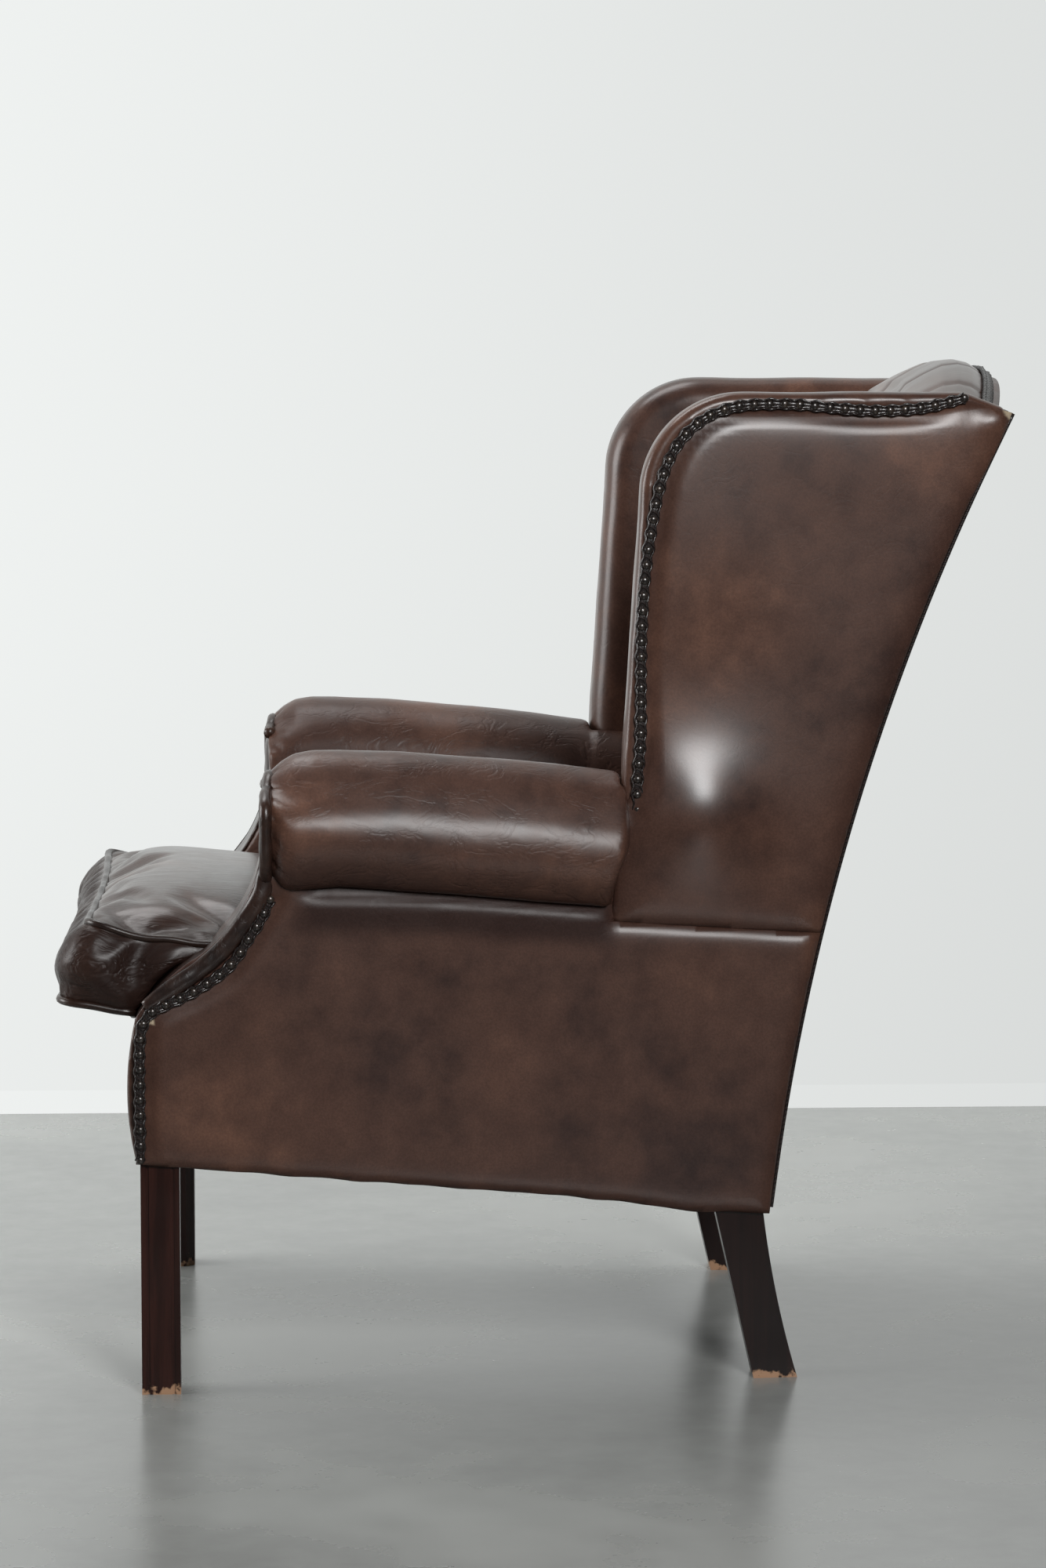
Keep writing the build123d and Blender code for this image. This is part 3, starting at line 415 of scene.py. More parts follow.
def leather(name="Aged leather", cloud=5.0, wear=0.5, shade=1.0, creases=1.3, scale=(26.0, 26.0, 26.0),
            gloss=0.62, sheen=0.27):
    look = settings().leather
    colour, rubbed, dark = (tuple(shade * c for c in tint) for tint in (look.colour, look.rubbed, look.dark))
    return finish_from(name, leather_group, {
        "Colour": colour, "Rubbed": rubbed, "Dark": dark, "Cloud scale": cloud, "Grain scale": 1 / look.grain,
        "Wear": wear, "Creases": creases, "Crease scale": scale, "Gloss": gloss,
    }, 0.25, 0.0004, Coat_Roughness=sheen, Specular_IOR_Level=0.12)


def outside_leather():
    return leather("Outside leather", 3.8, 0.4, creases=0.5)


def dark_leather():
    return leather("Dark leather", 8.0, 0.6, 0.36, 3.0, (60.0, 60.0, 25.0))


def cushion_leather():
    return leather("Cushion leather", 6.0, 0.5, 0.55, 18.0, (60.0, 9.0, 26.0), 1.0, 0.28)


def leg_wood(name="Polished dark wood", shade=1.0):
    look = settings().wood
    return finish_from(name, timber_group, {
        "Colour": tuple(shade * c for c in look.colour), "Worn": tuple(look.worn), "Wear": 1.0,
    }, 0.25, 0.0006, Coat_Weight=0.5, Coat_Roughness=0.2, Specular_IOR_Level=0.1)


def sawn_wood():
    return finish_from("Sawn hardwood", timber_group, {
        "Colour": (0.50, 0.33, 0.18), "Worn": (0.6, 0.45, 0.28), "Wear": 0.2, "Grain scale": 40.0}, 0.4, 0.0006)


def cloth(name, colour, threads):
    return finish_from(name, weave_group, {"Colour": colour, "Threads per metre": threads}, 0.6, 0.0005)


def braid():
    dark = settings().leather.dark
    return finish_from("Leather braid", braid_group, {
        "Colour": tuple(0.25 * c for c in dark), "Light": tuple(0.6 * c for c in dark), "Strand": 0.0052,
    }, 0.9, 0.0012, Coat_Weight=0.7, Coat_Roughness=0.2, Specular_IOR_Level=0.2)


def nail_metal():
    return finish_from("Antiqued nails", leather_group, {
        "Colour": tuple(settings().nails.colour), "Rubbed": (0.05, 0.034, 0.024), "Dark": (0.006, 0.005, 0.005),
        "Cloud scale": 60.0, "Grain scale": 1500.0, "Wear": 0.6, "Gloss": 0.7,
    }, 0.10, 0.0002, Metallic=0.5, Coat_Roughness=0.12)


def spring_wire():
    return finish_from("Spring wire", leather_group, {
        "Colour": (0.30, 0.29, 0.27), "Rubbed": (0.5, 0.48, 0.45), "Dark": (0.10, 0.08, 0.06),
        "Cloud scale": 30.0, "Grain scale": 2500.0, "Gloss": 0.0}, 0.1, 0.0002, Metallic=1.0)


def add_piece(name, bm, material, smooth=True):
    """Object from a bmesh, with its material."""
    mesh = bpy.data.meshes.new(name)
    bm.to_mesh(mesh)
    bm.free()
    if smooth:
        mesh.shade_smooth()
    piece = bpy.data.objects.new(name, mesh)
    bpy.context.scene.collection.objects.link(piece)
    piece.data.materials.append(material)
    return piece


def place_on(piece, slot, *nodes, body="frame", fill=None):
    """Hangs a piece on the body it rides on and hides the nodes it replaces. The slot and the fill are not
    used.
    """
    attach(piece, body)
    if nodes:
        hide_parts(*nodes)


def cad_shape(name):
    """Bmesh copy of a CAD node with its loose triangles merged."""
    bm = bmesh.new()
    bm.from_mesh(frame["nodes"][name].data)
    bmesh.ops.remove_doubles(bm, verts=bm.verts, dist=1e-6)
    return bm


def evaluated(piece):
    """Mesh of a piece with its modifiers applied."""
    graph = bpy.context.evaluated_depsgraph_get()
    return bpy.data.meshes.new_from_object(piece.evaluated_get(graph))


def relax(bm, rounds=1):
    for _ in range(rounds):
        bmesh.ops.smooth_vert(bm, verts=bm.verts, factor=0.5, use_axis_x=True, use_axis_y=True, use_axis_z=True)


def remeshed(name, bm, voxel, rounds):
    """Even net of small faces round a solid, relaxed a few times."""
    rough = add_piece(name + "_rough", bm, leather())
    cells = rough.modifiers.new("Cells", "REMESH")
    cells.mode = "VOXEL"
    cells.voxel_size = voxel
    mesh = evaluated(rough)
    bpy.data.objects.remove(rough)
    bm = bmesh.new()
    bm.from_mesh(mesh)
    bpy.data.meshes.remove(mesh)
    relax(bm, rounds)
    bm.normal_update()
    return bm


def extruded(bm, edges):
    """Extrudes edges. Gives the new vertices and the new edges."""
    made = bmesh.ops.extrude_edge_only(bm, edges=edges)["geom"]
    return [[g for g in made if isinstance(g, kind)] for kind in (bmesh.types.BMVert, bmesh.types.BMEdge)]


def wall_tree(pairs, reach):
    """Search tree of the walls that stand along pairs of points, for distances to that line."""
    walls = bmesh.new()
    for a, b in pairs:
        walls.faces.new([walls.verts.new(c) for c in (a - reach, b - reach, b + reach, a + reach)])
    tree = BVHTree.FromBMesh(walls)
    walls.free()
    return tree


def groove_tree(path):
    """Search tree of a row of nails, for the groove that it draws into the leather."""
    points = curve_points(side_path(path, 0), 0.006)
    return wall_tree(zip(points, points[1:]), SIDE_OUT * 0.05)


def mirrored(bm):
    """Turns a left shape into the right one."""
    bmesh.ops.scale(bm, vec=(-1, 1, 1), verts=bm.verts)
    bmesh.ops.reverse_faces(bm, faces=bm.faces)
    return bm


def ripple(point, size, height, seed=0.0):
    return height * noise.noise(point / size + Vector((seed, seed, seed)))


def skin(node_name, outward, crown, roll, step, back=0.004, groove=None, shape=None, pale=(), tone=None):
    """Leather drawn over a panel: the panel's outer face in a fine net, swollen inside its edges and drawn in
    along a groove, with painted shade near its edges. shape(place) gives further moves, pale lists the rubbed
    places with their sizes and tone(place) gives how much painted shade a place gets."""
    bm = cad_shape(node_name)
    painted_shade, rub = (bm.verts.layers.float.new(name) for name in ("painted_shade", "rub"))
    bm.normal_update()
    bmesh.ops.delete(bm, geom=[f for f in bm.faces if f.normal.dot(outward) < 0.6], context="FACES")
    bmesh.ops.dissolve_limit(bm, angle_limit=radians(0.4), verts=bm.verts, edges=bm.edges)
    low = Vector([min(v.co[i] for v in bm.verts) for i in range(3)])
    high = Vector([max(v.co[i] for v in bm.verts) for i in range(3)])
    for axis in range(3):
        if high[axis] - low[axis] < 4 * step or abs(outward[axis]) > 0.9:
            continue
        normal = Vector([float(i == axis) for i in range(3)])
        for index in range(1, int((high[axis] - low[axis]) / step)):
            bmesh.ops.bisect_plane(bm, geom=bm.verts[:] + bm.edges[:] + bm.faces[:], dist=1e-6,
                                   plane_co=low + normal * index * step, plane_no=normal)
    bm.normal_update()
    rim = [e for e in bm.edges if e.is_boundary]
    tree = wall_tree([[v.co for v in edge.verts] for edge in rim], 0.03 * outward)
    moves = []
    for vert in bm.verts:
        gap = tree.find_nearest(vert.co)[3]
        swell = crown * (1 - exp(-gap / roll)) + ripple(vert.co, 0.11, 0.0010) * min(gap / 0.03, 1)
        if groove:
            swell *= smooth_step(0.003, 0.020, groove.find_nearest(vert.co)[3])
        move = vert.normal * swell
        if shape:
            move += shape(vert.co)
        # Painted shade: darker and with less coat near the panel's edges, and where tone gives more.
        vert[painted_shade] = max(0.55 * exp(-gap / 0.016), tone(vert.co) if tone else 0.0)
        vert[rub] = max((exp(-(((vert.co - spot).length / size) ** 2)) for spot, size in pale), default=0.0)
        moves.append((vert, move))
    for vert, move in moves:
        vert.co += move
    bmesh.ops.translate(bm, vec=outward * -back, verts=extruded(bm, rim)[0])
    bmesh.ops.recalc_face_normals(bm, faces=bm.faces)
    probe = max(bm.faces, key=lambda f: f.calc_area())
    if probe.normal.dot(outward) < 0:
        bmesh.ops.reverse_faces(bm, faces=bm.faces)
    return bm


def curve_points(points, pitch, cyclic=False):
    """Points at an even pitch along a smooth curve near the given ones."""
    data = bpy.data.curves.new("path", "CURVE")
    data.dimensions = "3D"
    data.resolution_u = 24
    spline = data.splines.new("NURBS")
    spline.points.add(len(points) - 1)
    for target, point in zip(spline.points, points):
        target.co = (*point, 1)
    spline.use_cyclic_u = cyclic
    spline.use_endpoint_u = not cyclic
    spline.order_u = 3
    line = bpy.data.objects.new("path", data)
    bpy.context.scene.collection.objects.link(line)
    mesh = evaluated(line)
    places = [v.co.copy() for v in mesh.vertices]
    bpy.data.objects.remove(line)
    bpy.data.curves.remove(data)
    bpy.data.meshes.remove(mesh)
    if cyclic:
        places.append(places[0])
    total = sum((b - a).length for a, b in zip(places, places[1:]))
    count = max(int(round(total / pitch)), 2)
    step = total / count
    even, want, run = [places[0]], step, 0.0
    for a, b in zip(places, places[1:]):
        length = (b - a).length
        while length > 0 and run + length >= want - 1e-9 and len(even) <= count:
            even.append(a.lerp(b, (want - run) / length))
            want += step
        run += length
    return even[:count] if cyclic else even


def frames_along(points, up, cyclic=False):
    """Matrices along a path: X across it, Y along up, Z along the path. up is a vector, or a function that
    gives one for a point."""
    made = []
    count = len(points)
    for index, point in enumerate(points):
        ahead, behind = index + 1, index - 1
        if not cyclic:
            ahead, behind = min(ahead, count - 1), max(behind, 0)
        along = (points[ahead % count] - points[behind]).normalized()
        rise = up(point) if callable(up) else up
        rise = (rise - along * rise.dot(along)).normalized()
        turn = Matrix((rise.cross(along), rise, along)).transposed().to_4x4()
        made.append(Matrix.Translation(point) @ turn)
    return made


def swept(profile, frames, cyclic=False):
    """Sweeps a closed profile of (across, up) points along frames. U runs along it in metres, V across it."""
    bm = bmesh.new()
    share = bm.verts.layers.float.new("share")
    run = bm.verts.layers.float.new("run")
    ring = []
    for index, (across, up) in enumerate(profile):
        vert = bm.verts.new(frames[0] @ Vector((across, up, 0)))
        vert[share] = index / len(profile)
        ring.append(vert)
    edges = [bm.edges.new(pair) for pair in zip(ring, ring[1:])]
    edges.append(bm.edges.new((ring[-1], ring[0])))
    first = list(edges)
    distance = 0.0
    for before, after in zip(frames, frames[1:]):
        distance += (after.translation - before.translation).length
        fresh, edges = extruded(bm, edges)
        bmesh.ops.transform(bm, matrix=after @ before.inverted(), verts=fresh)
        for vert in fresh:
            vert[run] = distance
    uv = bm.loops.layers.uv.new("UVMap")
    for face in bm.faces:
        for loop in face.loops:
            loop[uv].uv = (loop.vert[run], loop.vert[share])
    if cyclic:
        bmesh.ops.bridge_loops(bm, edges=first + edges)
    else:
        bmesh.ops.contextual_create(bm, geom=first)
        bmesh.ops.contextual_create(bm, geom=edges)
    bmesh.ops.recalc_face_normals(bm, faces=bm.faces)
    return bm


def round_profile(radius, sides=10, other=None):
    """Circle, or ellipse with another radius along up."""
    other = other or radius
    return [(radius * cos(2 * pi * i / sides), other * sin(2 * pi * i / sides)) for i in range(sides)]


def joined(first, *others):
    """Adds other bmeshes to the first one, and frees them."""
    for other in others:
        mesh = bpy.data.meshes.new("part")
        other.to_mesh(mesh)
        other.free()
        first.from_mesh(mesh)
        bpy.data.meshes.remove(mesh)
    return first


def add_dome(bm, place, up, radius, segments, rings):
    """Adds a round head that is flattened along up."""
    turn = up.to_track_quat("Z", "Y").to_matrix().to_4x4()
    shape = Matrix.Translation(place) @ turn @ Matrix.Diagonal((1, 1, 0.55, 1))
    bmesh.ops.create_uvsphere(bm, u_segments=segments, v_segments=rings, radius=radius, matrix=shape)


SIDE_OUT = Vector((1, SIDE_TAPER, 0)).normalized()


def side_path(points, stand_off):
    """Points of (y, z) in millimetres on the left side's outer face."""
    return [Vector((side_x(y / 1000), y / 1000, z / 1000)) + SIDE_OUT * stand_off for y, z in points]


def both(name, make, material, slot, replaced="", fill=None):
    """Makes a piece on the left and its mirror image on the right."""
    for side in ("left", "right"):
        bm = make()
        if side == "right":
            mirrored(bm)
        piece = add_piece(name + "_" + side, bm, material)
        place_on(piece, slot, *([replaced + "_" + side] if replaced else ()), fill=fill)


def wing_shape():
    """Padded wing."""
    bm = remeshed("wing", cad_shape("wing_pad_left"), 0.0035, 5)
    for vert in bm.verts:
        vert.co += vert.normal * ripple(vert.co, 0.07, 0.0012, 3.0)
    return bm


# Radius of the arm's roll at its top and its side, and its droop, by the distance behind its front
ROLL_TOP = ((0.0, 0.0285), (0.007, 0.039), (0.017, 0.048), (0.031, 0.0565), (0.049, 0.0613), (0.076, 0.064),
            (0.134, 0.067), (0.300, 0.0685), (0.371, 0.0655))
ROLL_SIDE = ((0.0, 0.0540), (0.006, 0.0560), (0.011, 0.0610), (0.018, 0.0665), (0.030, 0.0680), (1.0, 0.0680))
ROLL_DROOP = ((0.0, 0.020), (0.034, 0.012), (0.076, 0.002), (0.114, 0.0), (0.28, 0.0), (0.371, -0.003))


def arm_shape():
    """Inside arm with its roll, which sags to its front in pleats."""
    bm = remeshed("arm", cad_shape("arm_pad_left"), 0.004, 4)
    painted_shade = bm.verts.layers.float.new("painted_shade")
    moves = []
    for vert in bm.verts:
        axis = roll_axis(vert.co.y)
        spoke = vert.co - axis
        spoke.y = 0
        reach = spoke.length
        into = max(vert.co.y - ROLL_START - 0.004, 0.0)
        move = vert.normal * ripple(vert.co, 0.08, 0.0014, 5.0)
        # Painted shade: the inside arm is darker and duller, and the roll's outer side darkens towards its
        # underside.
        vert[painted_shade] = 0.45
        if 1e-4 < reach < ROLL_RADIUS + 0.006 and vert.co.y < WING_START + 0.004:
            rise, out = spoke.z / reach, spoke.x / reach
            inner = smooth_step(0.0, -0.6, out)
            vert[painted_shade] = 0.45 * inner + (1 - inner) * 0.62 * smooth_step(0.1, -0.75, rise)
            short = max(ROLL_ROUND - into, 0.0)
            have = ROLL_RADIUS - ROLL_ROUND + sqrt(max(ROLL_ROUND**2 - short**2, 0.0))
            side = along_table(ROLL_SIDE, into) + along_table(ROLL_DROOP, into) * min(rise, 0.0) ** 2
            want = side + (along_table(ROLL_TOP, into) - side) * smooth_step(0.0, 0.75, rise)
            share = smooth_step(-0.25, 0.15, out) if rise < 0 else 1.0
            move += spoke * (want / have - 1) * share
            sag = smooth_step(0.0, 0.7, out) * (1 - 0.55 * smooth_step(0.5, 1.0, rise))
            move.z -= 0.013 * sag * smooth_step(0.0, 0.030, into) + 0.004 * sag
            outside = smooth_step(-0.004, 0.004, vert.co.x - side_x(vert.co.y) + 0.004)
            late = smooth_step(WING_START - 0.035, WING_START, vert.co.y) * outside
            move.y += late * (0.018 * smooth_step(-0.9, 0.5, rise) - 0.008 - 0.006 * (reach / ROLL_RADIUS) ** 4)
            angle = atan2(spoke.z, spoke.x)
            pleat = abs(sin(angle * 7 + 0.9 * sin(2 * angle)))
            fade = (1 - smooth_step(0.003, 0.026, into)) * smooth_step(0.030, 0.050, reach)
            move += vert.normal * (-0.0030 * (1 - pleat) ** 3 * fade)
        moves.append((vert, move))
    for vert, move in moves:
        vert.co += move
    relax(bm)
    return bm


def roll_welt():
    """Rolled edge of the facing, round the outer side and the top of the arm's front."""
    places = []
    for index in range(29):
        angle = radians(-66 + index * 8)
        rise, out = sin(angle), cos(angle)
        side, top = 0.0600 + 0.018 * min(rise, 0.0) ** 2, 0.0300
        radius = side + (top - side) * smooth_step(0.0, 0.75, rise)
        back = 0.0052 + 0.004 * smooth_step(0.4, 1.0, rise)
        place = roll_axis(ROLL_START) + Vector((radius * out, back, radius * rise))
        place.z -= 0.004 * smooth_step(0.0, 0.7, out)
        places.append(place)
    line = curve_points(places, 0.004)
    frames = frames_along(line, Vector((0, -1, 0)))
    for index, matrix in enumerate(frames):
        loose = noise.noise(matrix.translation / 0.016)
        frames[index] = matrix @ Matrix.Diagonal((1 + 0.2 * loose, 1 + 0.12 * loose, 1, 1))
    return swept(round_profile(0.0066, 12), frames)


# Paths on the chair's side, as (y, z) in millimetres
BORDER_PATH = (
    (-285, 552), (-286, 532), (-290, 517), (-300, 501), (-315, 480), (-332, 459.5), (-357, 439.5), (-391, 418),
    (-409, 405),
)


def arm_border():
    """Padded leather edge between the nails and the front of the arm's S-curve."""
    line = curve_points(side_path(BORDER_PATH, 0.0015), 0.004)
    frames = frames_along(line, SIDE_OUT)
    count = len(frames)
    for index, matrix in enumerate(frames):
        loose = noise.noise(matrix.translation / 0.018)
        taper = smooth_step(0.0, 5.0, index) * smooth_step(-1.0, 9.0, count - index)
        across, up = (0.6 + 0.4 * taper) * (1 + 0.06 * loose), (0.5 + 0.5 * taper) * (1 + 0.25 * loose)
        frames[index] = matrix @ Matrix.Diagonal((across, up, 1, 1))
    return swept(round_profile(0.0098, 14, 0.0058), frames)


def facing_shape():
    """Facing with its round head domed back to the roll's pleats."""
    bm = remeshed("facing", cad_shape("arm_facing_left"), 0.0016, 6)
    axis = roll_axis(ROLL_START)
    for vert in bm.verts:
        off = vert.co - axis
        reach = hypot(off.x, off.z + 0.018)
        if off.z > -0.03:
            rim = smooth_step(0.012, 0.046, reach)
            vert.co.y += 0.012 * rim * rim
            vert.co.z -= 0.010 * rim * smooth_step(0.0, 0.03, off.z)
    return bm


WING_NAIL_PATH = (
    (97, 601), (96, 617), (97, 639), (100, 671), (100, 720), (100, 776), (102, 821), (106, 862), (112, 900),
    (119, 936), (129, 963), (143, 985), (164, 1003), (186, 1012), (206, 1016), (236, 1017), (266, 1016),
    (301, 1012), (340, 1009), (386, 1011), (411, 1016), (434, 1022),
)
ARM_NAIL_PATH = (
    (-281, 514), (-290, 494), (-297, 483), (-305, 471), (-314, 456), (-325, 443), (-337, 434), (-351, 425),
    (-365, 417), (-392, 406), (-407, 397), (-414, 381), (-415, 350), (-415, 300), (-415, 247),
)


def ribbon(points, normal, pitch=0.0, width=0.0115, rise=0.0026):
    """Narrow leather braid with two raised edges, drawn in between its nails if a pitch is given."""
    half = width / 2
    near = [(half, -0.0012), (half, 0.9 * rise)]
    near += [(out * half, up * rise) for out, up in ((0.86, 1.25), (0.66, 1.1), (0.52, 0.4), (0.25, 0.55))]
    profile = [(-out, up) for out, up in near] + near[::-1]
    frames = frames_along(points, normal)
    if pitch:
        run, before = 0.0, frames[0].translation
        for index, matrix in enumerate(frames):
            run += (matrix.translation - before).length
            before = matrix.translation.copy()
            wave = cos(2 * pi * run / pitch)
            loose = noise.noise(matrix.translation / 0.012)
            across, up = 1 + 0.16 * wave + 0.10 * loose, 1 - 0.28 * wave + 0.25 * loose
            frames[index] = matrix @ Matrix.Diagonal((across, up, 1, 1))
    return swept(profile, frames)


def nail_braid(path):
    """Braid under a row of nails."""
    return ribbon(curve_points(side_path(path, 0.003), 0.0026), SIDE_OUT, settings().nails.pitch)


def nail_row(path):
    """Domed nail heads along a path."""
    look = settings().nails
    bm = bmesh.new()
    for place in curve_points(side_path(path, 0.0045), look.pitch):
        add_dome(bm, place, SIDE_OUT, look.radius, 10, 6)
    return bm


# Height of the seam under the roll, along the arm
ARM_SEAM = ((-0.276, 0.511), (-0.108, 0.505), (0.036, 0.493), (0.080, 0.4885))


def round_rear(place):
    """Draws the side leather back over the edge of the outside back."""
    near = exp(-max(back_y(place.z) - 0.012 - place.y, 0.0) / 0.016)
    over = 0.0060 + 0.0045 * smooth_step(0.90, 0.98, place.z)
    return SIDE_OUT * 0.0016 * near + Vector((0, over * near, 0))


def under_roll(place):
    """How much the outside arm's leather is darkened in the roll's shade."""
    over = place.z - along_table(ARM_SEAM, place.y)
    along = smooth_step(-0.268, -0.235, place.y) * (1 - smooth_step(0.06, 0.09, place.y))
    return 0.92 * smooth_step(-0.042, -0.018, over) * along


def outside_arm_move(place):
    """Draws the leather in under the roll, and lets its lower edge sag a little."""
    over = place.z - along_table(ARM_SEAM, place.y)
    along = smooth_step(-0.262, -0.228, place.y) * (1 - smooth_step(0.074, 0.082, place.y))
    tuck = smooth_step(-0.002, 0.012, over) * along
    low = SEAT_EDGE - (place.y - FRONT_Y) * SEAT_SLOPE
    near = exp(-max(place.z - low, 0.0) / 0.02)
    sag = 0.006 * exp(-(((place.y - 0.16) / 0.07) ** 2)) + 0.0016 * noise.noise(Vector((place.y / 0.035, 0, 4)))
    return SIDE_OUT * -0.006 * tuck + Vector((0, 0, -sag * near)) + round_rear(place)


def hump(place, y, z, across, up):
    """Bell-shaped share, 1 at a place of the side and fading across and up."""
    return exp(-(((place.y - y) / across) ** 2) - (((place.z - z) / up) ** 2))


def outside_wing_move(place):
    """Swells the wing's outside over the end of the roll, and draws it up to its rear corner."""
    swell = hump(place, 0.165, 0.592, 0.060, 0.060) - 0.25 * hump(place, 0.170, 0.74, 0.10, 0.07)
    knob = hump(place, 0.462, 0.992, 0.012, 0.014)
    front = smooth_step(0.625, 0.595, place.z) * exp(-max(place.y - 0.094, 0.0) / 0.03)
    top = 1.015 - 0.387 * max(place.y - 0.434, 0.0)
    corner = smooth_step(0.395, 0.450, place.y) * exp(-max(top - place.z, 0.0) / 0.028)
    drawn = Vector((0, -0.014 * front, 0.010 * corner))
    return SIDE_OUT * (0.018 * swell + 0.004 * knob) + drawn + round_rear(place)


def outside_wing_shape():
    return skin("outside_wing_panel_left", SIDE_OUT, 0.0075, 0.012, 0.0065, groove=groove_tree(WING_NAIL_PATH),
                shape=outside_wing_move, pale=((Vector((0.28, 0.474, 0.999)), 0.009),))


def outside_arm_shape():
    return skin("outside_arm_panel_left", SIDE_OUT, 0.0055, 0.0065, 0.0060, groove=groove_tree(ARM_NAIL_PATH),
                shape=outside_arm_move, pale=((Vector((0.349, -0.404, 0.391)), 0.0065),), tone=under_roll)


def back_edge():
    """Middle line of the braid up the left edge of the outside back."""
    rise = [BACK_FOOT[1] + 0.004 + i * (WING_TOP - 0.026 - BACK_FOOT[1]) / 14 for i in range(15)]
    return [Vector((side_x(back_y(z)) - 0.0050, back_y(z, 0.0005), z)) for z in rise]


def back_normal(point):
    return Vector((0, 1, (ARC_Z - point.z) / BACK_RADIUS)).normalized()


# How far the crest's arch falls to its ends, and how far from the middle that is
CREST_ARCH = 0.030
CREST_HALF = 0.235


def crest_line(x):
    """Height of the crest's top and place of its rear edge, at a distance from the middle."""
    high = CREST_TOP - 0.003 - CREST_ARCH * min((x / CREST_HALF) ** 2, 1)
    return high, back_y(high - 0.030, -0.004) - 0.05 * abs(x)


def outside_back_move(place):
    """Draws the top of the outside back forward to the crest's braid."""
    off = abs(place.x)
    near = smooth_step(0.10, 0.02, crest_line(off)[0] - place.z) * (1 - smooth_step(0.225, 0.270, off))
    return Vector((0, (0.004 - 0.062 * off) * near, -0.005 * near))


def crest_path():
    """Middle line of the braid where the crest meets the outside back."""
    places = []
    for index in range(21):
        x = 0.245 * (1 - index / 10)
        high, rear = crest_line(x)
        places.append(Vector((x, rear - 0.0095, high - 0.0125)))
    return places


def back_reach(z):
    """How far the buttoned back's base stands before the outside back."""
    return 0.146 - 0.046 * (z - BACK_FOOT[1]) / (CREST_TOP - BACK_FOOT[1])


def back_facing(z):
    """Direction that the buttoned back faces at a height."""
    return Vector((0, -1, (z - ARC_Z) / (BACK_RADIUS + back_reach(z)))).normalized()


def tuft_height(x, z):
    """How far the buttoned back stands over its base at a place: tufts, folds and button dimples."""
    look = settings().tufts
    a = x / look.across
    lowest = look.top_row - (look.rows - 1) * look.rise
    b = (min(max(z, lowest), look.top_row) - look.top_row) / (2 * look.rise)
    p, q = a + b, a - b
    puff = sqrt(abs(cos(pi * p) * cos(pi * q)))
    height = look.swell * puff ** (0.65 if z > look.top_row + 0.02 else 0.9)
    pb, qb = round(p - 0.5) + 0.5, round(q - 0.5) + 0.5
    bx = (pb + qb) / 2 * look.across
    bz = look.top_row + (pb - qb) * look.rise
    if lowest - 0.01 < bz < look.top_row + 0.01:
        height -= look.dimple * exp(-((hypot(x - bx, z - bz) / 0.017) ** 2))
    return height


# Side view of the rolled crest: run before its rear edge and height under its top, along the leather
CREST_RUN = ((0, -0.112), (0.216, -0.096), (0.378, -0.075), (0.503, -0.057), (0.612, -0.040), (0.697, -0.027),
             (0.771, -0.017), (0.852, -0.008), (0.935, -0.008), (1, -0.014))
CREST_RISE = ((0, -0.043), (0.216, -0.022), (0.378, -0.010), (0.503, -0.002), (0.612, 0), (0.697, -0.003),
              (0.771, -0.009), (0.852, -0.017), (0.935, -0.029), (1, -0.039))
# Share of the back's net that lies on the crest, its cells across and up, and the height of its foot
CREST_SHARE = 0.20
BACK_NET = (104, 182)
BACK_LOW = 0.335


def inside_back_shape():
    """Buttoned back as one net that climbs the front, rolls over the crest and ends at the outside back."""
    look = settings().tufts
    bm = bmesh.new()
    bmesh.ops.create_grid(bm, x_segments=BACK_NET[0], y_segments=BACK_NET[1], size=0.5)
    for vert in bm.verts:
        u, s = 2 * vert.co.x, vert.co.y + 0.5
        crest = min(max((s - 1 + CREST_SHARE) / CREST_SHARE, 0.0), 1.0)
        front_top = crest_line(0.24 * u)[0] - 0.043
        z = BACK_LOW + (front_top - BACK_LOW) * min(s / (1 - CREST_SHARE), 1.0)
        y = back_y(z, back_reach(z))
        room = side_x(y, WING_DEPTH)
        roll = roll_axis(y)
        over = min(max((z - roll.z) / ROLL_RADIUS, 0.0), 1.0)
        arm_room = roll.x - ROLL_RADIUS * sqrt(1 - over * over)
        room = min(room, arm_room) if z < roll.z + ROLL_RADIUS else room
        room -= 0.001
        x = u * room
        normal = back_facing(z)
        rise = tuft_height(x, z) * (1 - 0.8 * smooth_step(0.965, 1.012, z))
        edge = room - abs(x)
        rise = rise * smooth_step(0.0, 0.030, edge) - 0.014 * exp(-edge / 0.010)
        base = Vector((x, y, z))
        if crest > 0:
            high_z, rear = crest_line(x)
            base = Vector((x, rear + along_table(CREST_RUN, crest), high_z + along_table(CREST_RISE, crest)))
            before, after = max(crest - 0.06, 0.0), min(crest + 0.06, 1.0)
            run = along_table(CREST_RUN, after) - along_table(CREST_RUN, before)
            climb = along_table(CREST_RISE, after) - along_table(CREST_RISE, before)
            normal = Vector((0, -climb, run)).normalized()
            rise *= 1 - smooth_step(0.0, 0.15, crest)
            rise -= 0.0032 * (1 - abs(cos(pi * x / look.across))) ** 7 * smooth_step(0.0, 0.1, crest)
        vert.co = base + normal * rise
    bm.normal_update()
    fresh, edges = extruded(bm, [e for e in bm.edges if e.is_boundary])
    for vert in fresh:
        vert.co.y = max(vert.co.y, back_y(vert.co.z, 0.060))
    bmesh.ops.contextual_create(bm, geom=edges)
    bmesh.ops.recalc_face_normals(bm, faces=bm.faces)
    return bm


def button_shape():
    """Leather buttons in the dimples of the back."""
    look = settings().tufts
    bm = bmesh.new()
    for x, z in button_places():
        facing = back_facing(z)
        place = Vector((x, back_y(z, back_reach(z)), z)) - facing * (look.dimple - 0.003)
        add_dome(bm, place, facing, 0.0115, 20, 12)
    return bm


